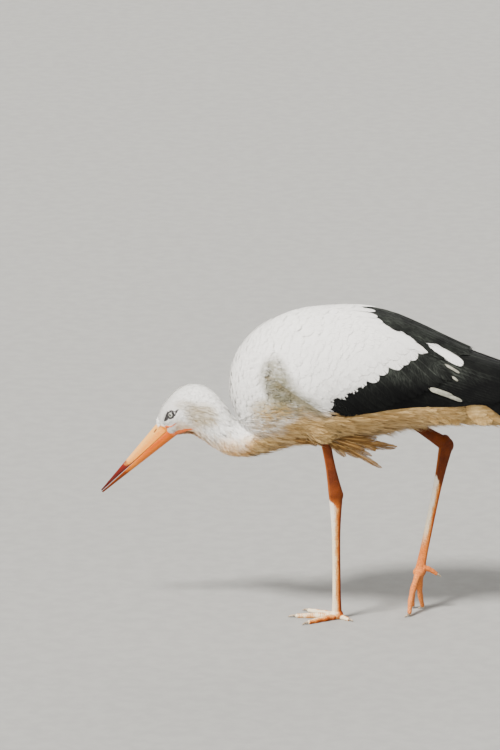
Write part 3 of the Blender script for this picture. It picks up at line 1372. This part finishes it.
def fluff(surface, count, stations, degrees, sizes):
    """Loose tufts on both sides of the head."""
    roots = head_spots(count, stations, degrees)
    roots = roots[~inside_face(roots, -1.5) & ~bare_of_feathers(neck_place(roots))]
    flow = scattered(neck_flow(neck_place(roots)[3]), 0.25)
    return grown(surface, roots, flow, zip(sizes, (0.2, 0.15, 0.2)), "fluff", 1.0,
                 uv=neck_uv(roots), tint=(0.8, 0.05))


def cover_ruff(surface):
    """Ruffled feathers of the cheeks, and long loose ones under the neck, some of them greyer."""
    def cheek(points):
        station, share, degrees, _ = place = neck_place(points)
        inside = (share < 1.15) & (station > 4.4) & (station < 8.3)
        return inside & (degrees > 70) & (degrees < 138) & ~over_strip(place, GULAR, 2.0)

    def low(points):
        station, share, degrees, _ = neck_place(points)
        return (share < 1.1) & (station > 2.5) & (station < 6.8) & (degrees > 118)

    roots = surface.scatter(3.6, cheek)
    flow = scattered(neck_flow(neck_place(roots)[3]), 0.2)
    ruff = grown(surface, roots, flow, [(22, 0.2), (3.8, 0.2), (5.0, 0.25)], "ruff", 0.4, 1.4,
                 uv=neck_uv(roots), tint=(0.5, 0.22))
    roots = surface.scatter(4.4, low)
    near = neck_place(roots)[3]
    flow = scattered(neck_flow(near), 0.16)
    drift = -RAIL_UP[near] * (2.2 * RNG.random((len(roots), 1)) ** 0.5 + 0.6)
    beard = grown(surface, roots, flow, [(27, 0.2), (4.4, 0.2), (4.4, 0.2)], "beard", 0.6,
                  uv=neck_uv(roots), drift=drift, tint=(0.6, 0.25))
    return [ruff, beard]


def cover_neck(surface):
    """Slim feathers of the neck, longer towards the body and looser below."""
    def neck(points):
        station, share, _, _ = neck_place(points)
        return (share < 1.04) & (station >= 2.4) & (station < 7.0)

    roots = surface.scatter(3.7, neck)
    station, _, degrees, near = neck_place(roots)
    below = smooth((degrees - 60) / 70)
    ruffle = np.interp(station, [2.4, 4.5, 7.0], [0.12, 0.12, 0.07]) * (0.6 + 0.8 * below)
    flow = scattered(neck_flow(near), ruffle[:, None])
    length, width, lift = (np.interp(station, [2.4, 5, 7.0], values)
                           for values in ([34, 27, 15], [7.5, 6, 5.5], [4.6, 4.4, 3.4]))
    sizes = (length, 0.14), (width, 0.12), (lift * (0.8 + 0.6 * below), 0.2)
    return [grown(surface, roots, flow, sizes, "neck", 0.2, 1.2, uv=neck_uv(roots),
                  tint=(0.76 - 0.26 * below, 0.06 + 0.2 * below))]


def cover_body(surface):
    """The body in front of and below the wings, loose in front of the bend of the wing."""
    def trunk(points):
        ends = points + body_flow(points) * 20
        below = ~above_wing_edge(ends, 1.0) | (degrees_up(points) > 28)
        return ~is_neck(points) & ~is_thigh(points) & ~above_wing_edge(points, -1.0) & below

    roots = surface.scatter(6.0, trunk)
    roots = roots[np.argsort(roots[:, 0])]
    x, _, z = roots.T
    angle = degrees_up(roots)
    front = 1 - smooth((x + 185) / 60)
    ruffled = bell(x, -122, 26) * bell(angle, 18, 30)
    sunk = bell(read_off(LOWER_EDGE, x) - angle, 0, 11) * (x > -128)
    belly = smooth((330 - z) / 40) * (1 - front)
    flow = scattered(body_flow(roots), (0.03 + 0.06 * belly + 0.24 * ruffled)[:, None])
    made = []
    for style, chosen, tint in (("body", ruffled < 0.35, (0.72, 0.08)),
                                ("ruffled", ruffled >= 0.35, (0.5, 0.25))):
        f, b, w, low = front[chosen], belly[chosen], ruffled[chosen], sunk[chosen]
        sizes = ((25 - 8 * f + 12 * b + 6 * w, 0.08), (15 - 4 * f - 5 * w, 0.08),
                 (3.9 - 0.4 * f + 0.8 * b + 3.0 * w - 2.6 * low, 0.1))
        made.append(grown(surface, roots[chosen], flow[chosen], sizes, style, 0.9 - 0.7 * low,
                          tint=tint))
    return made


BARE_ABOVE_CUFF = 17    # mm of the thigh that its feathers leave for their ends to hang over


def cover_thighs(surface):
    """Loose feathers of the thighs."""
    def thigh(points):
        left, right = (LEGS[name]["cuff"][2] for name in SIDES)
        end = np.where(points[:, 1] < 0, left, right)
        return is_thigh(points) & (points[:, 2] > end + BARE_ABOVE_CUFF)

    roots = surface.scatter(5.0, thigh)
    down = np.where(roots[:, 1:2] < 0, [[0.95, 0.0, -0.3]], [[0.9, 0.05, -0.4]])
    return [grown(surface, roots, scattered(down, 0.1), [(26, 0.15), (9, 0.12), (6.5, 0.18)],
                  "thigh", 0.2)]


def cover_belly(surface):
    """Long loose feathers of flanks and belly, and silky strands, each of its own shade."""
    def flank(points):
        x, angle = points[:, 0], degrees_up(points)
        low = (angle < -12) & (angle > -74) & (x > -150) & (x < 350)
        return low & ~above_wing_edge(points, 0.0) & ~is_neck(points) & ~is_thigh(points)

    def breast(points):
        x, _, z = points.T
        low = (degrees_up(points) > -70) & (x > -188) & (x < 60)
        low = low & (z < np.minimum(322 + 0.74 * (x + 188), 368))
        ends = points + body_flow(points) * 40
        return low & ~above_wing_edge(ends, 3.0) & ~above_wing_edge(points, 0.0) & ~is_neck(points)

    roots = surface.scatter(9.5, flank)
    under = smooth((roots[:, 0] - 60) / 60)
    flow = scattered(body_flow(roots), 0.07)
    flow[:, 2] -= 0.1 * under
    drift = hanging(2.0 + 1.5 * under) * (0.5 + RNG.random((len(roots), 1)))
    belly = grown(surface, roots, flow, [(46, 0.14), (9, 0.2), (9.0, 0.1)], "belly", 0.8,
                  bending=0.12, drift=drift, tint=(0.55, 0.25))
    roots = surface.scatter(8.0, breast)
    strands = grown(surface, roots, scattered(body_flow(roots), 0.1),
                    [(52, 0.16), (6.0, 0.25), (6.4, 0.2)], "strands", 1.4, 1.6, bending=0.16,
                    tint=(0.42, 0.32))
    return [belly, strands]


def hanging(fall, back=0.0):
    """Drift by which feathers hang down, and trail back by a share of it."""
    return np.stack([back * fall, 0 * fall, -fall], 1)


def cover_fringe(surface):
    """Hair-like ends that hang along the lower edge of the belly and the tail coverts."""
    def edge(points):
        x = points[:, 0]
        return (degrees_up(points) < -52) & (x > 18) & (x < 204) & ~is_thigh(points)

    roots = surface.scatter(5.0, edge)
    x = roots[:, 0]
    clump = np.sin(x / 4.2) * np.sin(x / 11.0 + 1.0)
    fall = (5.0 + 7.0 * RNG.random(len(roots))) * (1 + 0.7 * clump)
    fall = fall * (1 - 0.6 * smooth((x - 100) / 30))
    flow = scattered(np.tile([0.9, 0.0, -0.35], (len(roots), 1)), 0.16)
    return [grown(surface, roots, flow, [(24, 0.2), (4.2, 0.2), (4.0, 0.2)], "fringe", 0.6,
                  drift=hanging(fall, 0.45), tint=(0.5, 0.3))]


def cover_undertail(surface):
    """Broad round feathers under the wing tip and the tail."""
    def under(points):
        return (points[:, 0] > 168) & (points[:, 0] < 330) & ~above_wing_edge(points, 6.0)

    roots = surface.scatter(11.0, under)
    roots = roots[np.argsort(-roots[:, 0])]
    flow = scattered(rearward(np.full(len(roots), BODY_SLOPE)), 0.05)
    drift = hanging(varied(2.5, 0.4, len(roots)))
    return [grown(surface, roots, flow, [(38, 0.1), (19, 0.1), (4.4, 0.1)], "undertail", 1.2,
                  drift=drift, rachis=0.7, tint=(0.4, 0.3))]


# Loose feathers behind the left thigh: root, tip, width
PLUMES = [
    ((-24, -58, 307), (76, -52, 285), 15), ((-22, -58, 311), (44, -52, 302), 11),
    ((-20, -60, 309), (62, -56, 293), 12), ((-26, -60, 301), (53, -58, 262), 10),
    ((-24, -62, 303), (36, -60, 282), 9), ((-32, -62, 302), (16, -56, 277), 13),
    ((-38, -62, 304), (-6, -58, 280), 12), ((-78, -60, 306), (-52, -58, 298), 9),
    ((-92, -60, 304), (-64, -58, 300), 9), ((-28, -64, 306), (24, -62, 291), 10),
]
# Broad round feathers at the lower edge under the tail: root, tip, width
BLADES = [
    ((184, -54, 368), (219, -46, 328), 30), ((206, -50, 368), (243, -40, 330), 22),
    ((150, -58, 356), (172, -50, 325), 17), ((134, -60, 352), (158, -54, 328), 13),
    ((190, -54, 362), (228, -44, 331), 24), ((118, -60, 350), (140, -56, 331), 13),
]
DOUBLED = 11            # width in mm past which a hanging feather has a second one over it


def loose_feathers(table, side=1, sag=3.0):
    """Feathers that hang free, each from its root to its tip."""
    made = []
    for root, tip, width in table:
        for k in range(2 if width > DOUBLED else 1):
            root_at = np.array([root], float) * [1, side, 1]
            run = (np.array([tip], float) * [1, side, 1] - root_at) * (1 - 0.3 * k)
            run[0, 2] += 3.0 * k
            normal = unit(np.cross(run[0], [0.2 + 0.3 * k, 0.15 * side, 1.0]))
            bed = Sheet(root_at[0], -side * np.sign(normal[1]) * normal)
            made.append(vanes(
                bed, root_at, run, np.linalg.norm(run, axis=1), np.array([float(width)]),
                np.array([2.0]), "plume", base=1.2 * k, bend=RNG.normal(0.1, 0.12, 1),
                drift=hanging(np.array([sag])), rachis=0.9, tint=(0.2, 0.06)))
    return made


def shade_skin(skin, points):
    """Marks the skin under the black feathers, which is dark too, and the bare skin."""
    above = degrees_up(points) - read_off(LOWER_EDGE, points[:, 0])
    dark = smooth((past_white_edge(points) + 4) / 8) * smooth((above - 1) / 4) * ~is_neck(points)
    station, share, degrees, _ = neck_place(points)
    bare = smooth((station - read_off(FEATHER_FRONT, degrees) - 0.05) / 0.2) * (share < 1.3)
    bare = bare * smooth((degrees - 62) / 12)
    set_tone(skin.data, np.stack([dark, bare, 0 * dark, 0 * dark + 1], 1))


# ---- Wings ----


def on_body(places, side, inset=5.0):
    """Points of the body's outline at (x, degrees up from the widest line) on one side."""
    station = np.interp(places[:, 0], BODY[:, 0], np.arange(len(BODY)))
    return section(rows_at(BODY, station), np.radians(places[:, 1]), inset, side)


def spaced(line, count):
    """Points spread evenly by length along a line of control points."""
    line = np.asarray(line, float)
    walked = np.concatenate([[0], np.cumsum(np.linalg.norm(np.diff(line, axis=0), axis=1))])
    at = np.linspace(0, walked[-1], count)
    return np.stack([np.interp(at, walked, column) for column in line.T], 1)


def row_of_feathers(mantle, side, style, roots, tips, count, width, level, lift, bend=(0.0, 0.0),
                    spread=0.6, nudge=0.0, roll=0.9, **shape):
    """A row between lines of roots and tips, as (x, degrees up from the widest line)."""
    starts = on_body(spaced(roots, count), side)
    ends = on_body(spaced(tips, count) + nudge, side)
    run = ends - starts
    length = np.linalg.norm(run, axis=1) * 1.02 + RNG.normal(0, spread, count)
    width, base, bend = (between(*[[value] for value in pair], np.linspace(0, 1, count))[:, 0]
                         for pair in (width, level, bend))
    return vanes(mantle, starts, run, length, width, np.full(count, lift), style, base=base,
                 bend=bend * side, roll=roll * side, **shape)


FLIGHT = dict(tint=(0.5, 0.25), rachis=1.1)
HELD = dict(FLIGHT, trim=held_above_edge)
# Rows of dark feathers. level is the height over the bed, from the first to the last
WING_ROWS = {
    "primaries": dict(
        HELD, style="flight", roots=[(150, 14), (168, 26), (186, 40)],
        tips=[(300, -10), (345, 0), (384, 20)],
        count=9, width=(20, 24), level=(0.6, 1.6), lift=1.2, bend=(-0.1, 0.1)),
    "secondaries": dict(
        HELD, style="flight", roots=[(-22, -20), (40, -10), (96, 10)],
        tips=[(50, -26), (130, -12), (226, 10)],
        count=15, width=(24, 26), level=(1.2, 2.2), lift=1.0, bend=(0.14, 0.2)),
    "tertials": dict(
        HELD, style="flight", roots=[(84, 16), (108, 28), (122, 42), (112, 56)],
        tips=[(228, 14), (250, 24), (272, 36), (286, 52)],
        count=12, width=(28, 30), level=(2.6, 4.0), lift=1.2, bend=(0.05, -0.14)),
    "greater_coverts": dict(
        HELD, style="greater_coverts", roots=[(-48, -20), (-40, -8), (4, 7), (46, 24), (92, 48)],
        tips=[(-18, -30), (12, -29), (54, -22), (104, -4), (158, 24)],
        count=16, width=(18, 26), level=(3.4, 4.6), lift=1.6),
    "long_scapulars": dict(
        FLIGHT, style="scapulars", roots=[(-6, 87), (12, 76), (34, 66), (62, 58)],
        tips=[(196, 84), (190, 72), (176, 62), (160, 52)],
        count=10, width=(30, 30), level=(4.4, 5.2), lift=1.2),
}


CORE_SIDES = 20
CORE_OUTER = 7.0        # greatest depth of the core's outer and inner face below the outline
CORE_INNER = 10.5


def wing_core(side):
    """Closed body inside the folded flight feathers."""
    stations = np.linspace(5.6, 16.8, 70)
    rows = rows_at(WING, np.interp(stations, WING[:, 0], np.arange(len(WING))))
    rings = []
    for (_, low, high, thick), outline in zip(rows, rows_at(BODY, stations)):
        low = max(low, read_off(LOWER_EDGE, outline[0]))
        angle = np.radians(np.linspace(low + 3, min(high, 89) - 1, CORE_SIDES))
        around = np.repeat(outline[None], CORE_SIDES, 0)
        rings.append(np.concatenate([
            section(around, angle, min(CORE_OUTER, 0.5 * thick), side),
            section(around, angle[::-1], min(CORE_INNER, 0.9 * thick), side)]))
    return closed_loft(np.stack(rings))


def cover_wing(mantle, name):
    side = SIDES[name]
    rows = [row_of_feathers(mantle, side, **row) for row in WING_ROWS.values()]
    coat_pieces(f"flight_feathers_{name}", rows, "black", f"wing_{name}_flight")
    core = new_mesh(f"wing_core_{name}", *wing_core(side))
    finish_piece(core, "black", f"wing_{name}_flight")


def white_coverts(surface):
    """Rounded white feathers over the front of the wings."""
    def white(points):
        ends = points + wing_flow(points) * 24
        clear = (past_white_edge(points) < -8) & (past_white_edge(ends) < -5)
        return above_wing_edge(points, 0.0) & clear & above_wing_edge(ends, 1.0)

    roots = surface.scatter(7.5, white)
    roots = roots[np.argsort(-roots[:, 0])]
    back = smooth((roots[:, 0] + 150) / 200)
    sizes = (22 + 7 * back, 0.06), (15 + 7 * back, 0.06), (2.7 + 0.4 * back, 0.08)
    return grown(surface, roots, scattered(wing_flow(roots), 0.04), sizes, "coverts", 1.2,
                 rachis=0.4, tint=(0.72, 0.09))


def wing_front_row(surface, side):
    """White coverts one behind the other along the front and lower edge of the wing."""
    count = 15
    line = spaced([(-128, 36), (-120, 14), (-98, 2), (-60, -17), (-36, -25)], count) + [0, 7]
    after = spaced([(-114, 12), (-98, -1), (-60, -20), (-20, -27), (4, -27)], count) + [0, 4]
    roots = on_body(line, side)
    length, width, lift = (np.full(count, size) for size in (36.0, 17.0, 2.2))
    return vanes(surface, roots, on_body(after, side) - roots, length, width, lift,
                 "front_coverts", base=3.2, roll=-1.2 * side, rachis=0.5)


# How far each feather of the edge stands from an even row: [mm, degrees]
UNEVEN = np.array([[0, 0], [0, 0], [0, 0], [0, 0], [0, -2], [-1, -2], [0, -3], [8, -2],
                   [4, -2.5], [0, -3.5], [0, 0]])
EDGE_TIPS = [(-29, -31), (-28, -20), (-18, -10), (2, -6.5), (21, 0.5), (45, 11), (67, 20),
             (96, 30), (119, 46)]
EDGE_ROOTS = [(-66, -16), (-61, -3), (-50, 8), (-29, 16), (-6, 23), (18, 32), (40, 40),
              (66, 49), (86, 57)]


def edge_coverts(mantle, side):
    """The two rows whose round tips scallop the edge of the white."""
    made = []
    for back, low, count, nudge in ((16.0, 5.2, 12, 0.0), (0.0, 4.4, 11, UNEVEN)):
        frayed = np.interp(np.linspace(0, 1, count), [0.15, 0.5], [1.0, 0.0])
        roots, tips = (np.array(line) - [back, 0.0] for line in (EDGE_ROOTS, EDGE_TIPS))
        made.append(row_of_feathers(
            mantle, side, "edge_coverts", roots, tips, count, (24, 30), (low, low + 0.4), 1.2,
            spread=2.6, nudge=nudge, frayed=frayed.reshape(-1, 1, 1, 1, 1), tint=(0.62, 0.1),
            rachis=0.5, trim=held_above_edge))
    return made


def upper_edge_scapulars(mantle, side):
    """White scapulars whose edge draws the line below the black ones."""
    roots = [(-12, 84), (-4, 74), (14, 65), (38, 57), (60, 54), (80, 52)]
    tips = [(38, 80), (42, 68), (58, 56), (80, 49), (101, 46), (121, 45)]
    return row_of_feathers(mantle, side, "upper_edge", roots, tips, 10, (18, 18), (5.8, 5.8), 1.0,
                           tint=(0.62, 0.1), rachis=0.5)


# Single pale feathers among the black: root, tip, width, level
PALE_FEATHERS = {
    "white": [((119, 55.5), (177, 46), 16.5, 6.4)],
    "grey": [((148, 38.5), (171, 34), 4.2, 5.8), ((159, 27.5), (169, 24), 3.6, 5.6),
             ((121, 7.5), (162, 5.5), 8, 5.2), ((140, 6.5), (176, 2.5), 6.0, 5.0)],
}


def pale_feathers(mantle, side, look):
    """The single feathers of one look, each on its own."""
    return [row_of_feathers(mantle, side, "pale", [root], [tip], 1, (width, width), (high, high),
                            0.5, spread=0.0, roll=0.0, tint=(0.7, 0.02), rachis=0.5)
            for root, tip, width, high in PALE_FEATHERS[look]]


# ---- Legs, claws and bill ----

LEG_VOXEL = 0.8
LEG_SOFTENING = 5
SHANK_ENTRY = 16        # mm of the shank inside the thigh
TOE_END = 0.62
TOE_PADS = 3.0
PAD_SWELL = 0.07
CLAW_RADII = (2.5, 0.7)
SHAFT_SCUTES = 4.6      # mm from one scute to the next
TOE_SCUTES = 3.4
SHAFT_RELIEF = 0.3      # mm that scutes stand out
TOE_RELIEF = 0.32


def leg_length(start, end, radii, entry=0):
    """A straight length of leg, which starts before its start by the entry."""
    start = start - unit(end - start) * entry
    table = np.asarray(radii, float)[:, None]
    size = rows_at(table, np.linspace(0, len(radii) - 1, 60))
    path = between(start, end, np.linspace(0, 1, 60))
    return closed_loft(limb_rings(path, size * [DEEPER, NARROWER], 32))


def toe_rings(root, tip, radius, bow):
    """A toe with pads, bowed up, or forward where bow is negative."""
    share = np.linspace(0, 1, 40)
    path = between(root, tip, share)
    path[:, 0 if bow < 0 else 2] += bow * np.sin(np.pi * share)
    size = radius * (1 + (TOE_END - 1) * share)
    size = size * (1 + PAD_SWELL * np.cos(2 * np.pi * TOE_PADS * share))
    size = np.maximum(size * np.clip((1 - share) / 0.06, 0, 1) ** 0.5, 0.6)
    return limb_rings(path, size[:, None] * [0.9, 1], 24)


CLAW_ROOT = 3.0         # mm of the claw inside the toe


def claw_rings(tip, claw):
    """A hooked claw past the tip of a toe."""
    reach = np.array(claw, float)
    share = np.linspace(0, 1, 26)
    path = between(tip - unit(reach) * CLAW_ROOT, tip + reach, share)
    path[:, 2] += np.sin(np.pi * share) ** 1.2
    broad, fine = CLAW_RADII
    radius = fine + (broad - fine) * (1 - share) ** 0.7
    radius = radius * np.clip((1 - share) / 0.08, 0.02, 1) ** 0.5
    return limb_rings(path, radius[:, None] * [0.9, NARROWER], 24)


def scute_relief(piece, leg):
    """Raises the rows of scutes down the front of the tarsus and over the toes."""
    points = vertex_array(piece.data, "co") * 1000 - SHIFT
    normals = vertex_array(piece.data, "normal")
    share, length, _ = along_line(points, leg["ankle"], leg["base"])
    on_shaft = smooth((share - 0.08) / 0.06) * smooth((0.97 - share) / 0.04)
    wave = np.abs(np.sin(np.pi * share * length / SHAFT_SCUTES)) ** 0.5
    lift = (wave - 0.7) * SHAFT_RELIEF * on_shaft * smooth((0.15 - normals[:, 0]) / 0.6)
    up = smooth((normals[:, 2] - 0.4 * normals[:, 0] + 0.1) / 0.6)
    for root, tip, radius, _, _ in leg["toes"]:
        share, length, away = along_line(points, root, tip)
        part = np.clip(share, 0, 1)
        near = smooth((radius * 1.7 - away) / 2.0) * smooth(part / 0.1)
        wave = np.abs(np.sin(np.pi * part * length / TOE_SCUTES)) ** 0.5
        lift += (wave - 0.7) * TOE_RELIEF * near * smooth((1 - part) / 0.06) * up
    points = points + normals * lift[:, None]
    points[:, 2] = np.maximum(points[:, 2], 0.0)
    piece.data.vertices.foreach_set("co", metres(points).astype(np.float32).ravel())
    piece.data.update()


def make_leg(name):
    """Bare leg and foot in one piece, and its four claws."""
    leg = LEGS[name]
    cuff, ankle, base = leg["cuff"], leg["ankle"], leg["base"]
    parts = [
        leg_length(cuff, ankle, SHANK_RADII, SHANK_ENTRY),
        leg_length(ankle, base, TARSUS_RADII),
        ball(ankle - unit(ankle - cuff) * 3.0, (11.0, 9.6, 15.0)),
        ball(ankle + unit(base - ankle) * 5.0, (11.0, 9.0, 15.0)),
        ball(ankle + [3.0, 0, -1.5], (9.4, 8.0, 12.0)),
        ball(base, FOOT_PAD),
    ]
    parts += [closed_loft(toe_rings(*toe[:4])) for toe in leg["toes"]]
    for one, other in (leg["toes"][1:3], leg["toes"][2:4]):
        middle = np.add(one[0], other[0]) / 2.0
        out = unit(np.add(one[1], other[1]) - 2 * middle)
        parts.append(ball(middle + out * 5.0, leg["web"]))
    piece = union(f"leg_{name}", parts, LEG_VOXEL, LEG_SOFTENING)
    scute_relief(piece, leg)
    finish_piece(piece, "leg", f"shank_{name}", f"tarsus_{name}", f"foot_{name}")
    for i, (_, tip, _, _, claw) in enumerate(leg["toes"], 1):
        points, faces = closed_loft(claw_rings(tip, claw))
        points[:, 2] = np.maximum(points[:, 2], 0.05)
        finish_piece(new_mesh(f"nail_{name}_{i}", points, faces), "claw", f"claw_{name}_{i}")


BILL_GAP = 0.9          # how far each half stands back from the middle where the bill gapes most
GAPE_AT = 0.72          # share of the bill's length where it does
# Nostril: place along the bill and up its side, lean, length, width, and depth in mm
NOSTRIL = dict(share=0.145, rise=0.69, slope=1.2, length=0.032, width=0.07, depth=1.7)


def make_mandible(name, ridge, lift):
    """Half of the bill: a roof over its flat biting face. lift is 1 above and -1 below."""
    share = np.linspace(0, 1, 130)[:, None]
    angle = np.linspace(0, np.pi, 44)[None]
    ridge_at, edge_at = (between(*line, share[:, 0]) for line in (ridge, TOMIUM))
    edge = edge_at[:, 1:] + lift * (BILL_GAP * bell(share, GAPE_AT, 0.3) + 0.18)
    half = BILL_TIP_HALF_WIDTH + (BILL_HALF_WIDTH - BILL_TIP_HALF_WIDTH) * (1 - share) ** 0.8
    rise = np.abs(np.sin(angle)) ** 0.8
    if lift > 0:
        past = share - NOSTRIL["share"]
        slot = bell(past, 0, NOSTRIL["length"], 4)
        slot = slot * bell(rise + past * NOSTRIL["slope"], NOSTRIL["rise"], NOSTRIL["width"])
        groove = bell(rise, 0.5, 0.12) * smooth((0.5 - share) / 0.3)
        dent = slot * NOSTRIL["depth"] + groove * 0.45
    else:
        slot = 0 * (share + rise)
        dent = bell(rise, 0.45, 0.15) * smooth((0.6 - share) / 0.4) * 0.35
    trim = bell(rise, 0, 0.16) * 0.35 * smooth((0.9 - share) / 0.3)
    x = edge_at[:, :1] + (ridge_at[:, :1] - edge_at[:, :1]) * rise
    y = (half - dent + trim) * np.cos(angle)
    z = edge + (ridge_at[:, 1:] - edge) * rise - lift * dent * rise * 0.35
    points, faces = closed_loft(turned(np.stack([x, y, z], -1)))
    tone = np.stack([rise + 0 * share, share + 0 * rise, slot, 0 * slot + 1], -1).reshape(-1, 4)
    caps = [[0.5, 0, 0, 1], [0.5, 1, 0, 1]]
    piece = new_mesh(f"{name}_horn", points, faces, tone=np.concatenate([tone, caps]))
    finish_piece(piece, name, name)


APERTURE = 4.7          # radius of the opening between the lids
# Rings of the lids: [distance out from the lid's edge, height over the eyeball]
LIDS = np.array([[-0.25, -0.5], [0.0, 0.25], [0.25, 0.7], [0.7, 0.85], [1.2, 0.6], [1.9, 0.4]])
FACE_RINGS = 12         # rings of bare skin outside the lids
FACE_SECTORS = 180
RAY_START = 60.0        # mm outside the eye


def make_face(name, surface):
    """Bare skin round the eye, with lids that bulge over the eyeball."""
    side = SIDES[name]
    degrees = np.arange(FACE_SECTORS) * 360 / FACE_SECTORS
    angle = np.radians(degrees)
    slit = APERTURE + 0.7 * bell(degrees, 216, 22) + 0.35 * bell(degrees, 36, 20)
    reach = np.maximum(read_off(FACE_OUTLINE, degrees), slit + 2.0)
    inner = slit + LIDS[:, :1]
    spread = np.linspace(0.12, 1, FACE_RINGS)[:, None]
    radius = np.concatenate([inner, inner[-1:] + (reach - inner[-1:]) * spread])
    flat = np.stack([radius * np.cos(angle), 0 * radius + RAY_START, radius * np.sin(angle)], -1)
    hits = surface.ray(to_eye(flat.reshape(-1, 3), side), -eye_axes(side)[1])
    skin_height = np.nan_to_num(RAY_START - hits.reshape(radius.shape), nan=0.0)
    over = np.concatenate([LIDS[:, 1], np.linspace(0.35, 0.0, FACE_RINGS)])[:, None]
    lid = np.sqrt(np.maximum(EYE_RADIUS ** 2 - radius ** 2, 0)) + over
    ground = skin_height + 0.5
    height = 0.5 * (lid + ground + np.sqrt((lid - ground) ** 2 + 0.6))
    height[:len(LIDS)] = lid[:len(LIDS)]
    height[len(LIDS) - 1] = (height[len(LIDS) - 1] + height[len(LIDS)]) / 2
    height[-1] = skin_height[-1] - 1.0
    flat[..., 1] = height
    quads = ring_quads(len(radius), FACE_SECTORS)
    piece = new_mesh(f"face_{name}", to_eye(flat.reshape(-1, 3), side),
                     [quads if side < 0 else quads[:, ::-1]])
    finish_piece(piece, "face", "head")


def skin_strip(name, line, side, raised, crease, surface):
    """A raised strip of bare skin along [neck station, degrees, half-width]."""
    nodes, lanes = 40, 7
    rows = rows_at(line, np.linspace(0, len(line) - 1, nodes))
    lane = np.linspace(-1, 1, lanes)
    centre = turned(neck_points(rows[:, 0], side * np.radians(rows[:, 1]), 2.0))
    spots, normals = surface.nearest(centre)
    sideways = unit(np.cross(normals, unit(np.gradient(centre, axis=0))))
    grid = spots[:, None] + sideways[:, None] * (lane[None, :, None] * rows[:, 2, None, None])
    spots, normals = surface.nearest(grid)
    node = np.arange(nodes)[:, None]
    fade = np.minimum(1, np.minimum(node, nodes - 1 - node) / 4 + 0.2)
    height = (raised * np.sqrt(1 - lane ** 2) - 0.25) * fade
    points = spots + normals * height[..., None]
    middle = np.broadcast_to(1 - np.abs(lane), (nodes, lanes))
    tone = np.stack([middle, 0 * middle + crease, 0 * middle, 0 * middle + 1], -1)
    piece = new_mesh(name, points.reshape(-1, 3), [ring_quads(nodes, lanes, closed=False)],
                     tone=tone.reshape(-1, 4))
    finish_piece(piece, "gular", "head")


def make_eye(name):
    eye = new_mesh(f"eyeball_{name}", *ball(eye_centre(SIDES[name]), EYE_RADIUS, 48, 32))
    finish_piece(eye, f"eye_{name}", f"eye_{name}")


# ---- Build ----

COATS = {"head": cover_head, "neck": cover_neck, "ruff": cover_ruff, "body": cover_body,
         "thighs": cover_thighs, "belly": cover_belly, "fringe": cover_fringe,
         "undertail": cover_undertail}

make_camera()
make_stage()
skin = make_skin()
surface = skin_surface_of(skin)
mantle = make_mantle()
shade_skin(skin, surface.points)
finish_piece(skin, "skin", "head", "neck_upper", "neck_lower", "trunk", "tail", "thigh_left",
             "thigh_right", "wing_left_coverts", "wing_right_coverts")
for name, cover in COATS.items():
    coat_pieces(f"coat_{name}", cover(surface), "white")
coat_pieces("plumes_left", loose_feathers(PLUMES), "plume")
for name, side in SIDES.items():
    coat_pieces(f"undertail_{name}", loose_feathers(BLADES, -side, 1.0), "white")
white_sets = [white_coverts(surface)]
white_sets += [wing_front_row(surface, side) for side in SIDES.values()]
for name, side in SIDES.items():
    cover_wing(mantle, name)
    white_sets.extend(edge_coverts(mantle, side))
    white_sets.append(upper_edge_scapulars(mantle, side))
    white_sets.extend(pale_feathers(mantle, side, "white"))
    coat_pieces(f"pale_feathers_{name}", pale_feathers(mantle, side, "grey"), "grey")
coat_pieces("coat_wings", white_sets, "white")
for name, side in SIDES.items():
    make_leg(name)
    make_eye(name)
    make_face(name, surface)
    skin_strip(f"gular_{name}", GULAR, side, 2.6, 0.0, surface)
    skin_strip(f"gape_{name}", GAPE, side, 1.3, 1.0, surface)
make_mandible("bill_upper", CULMEN, 1)
make_mandible("bill_lower", GONYS, -1)
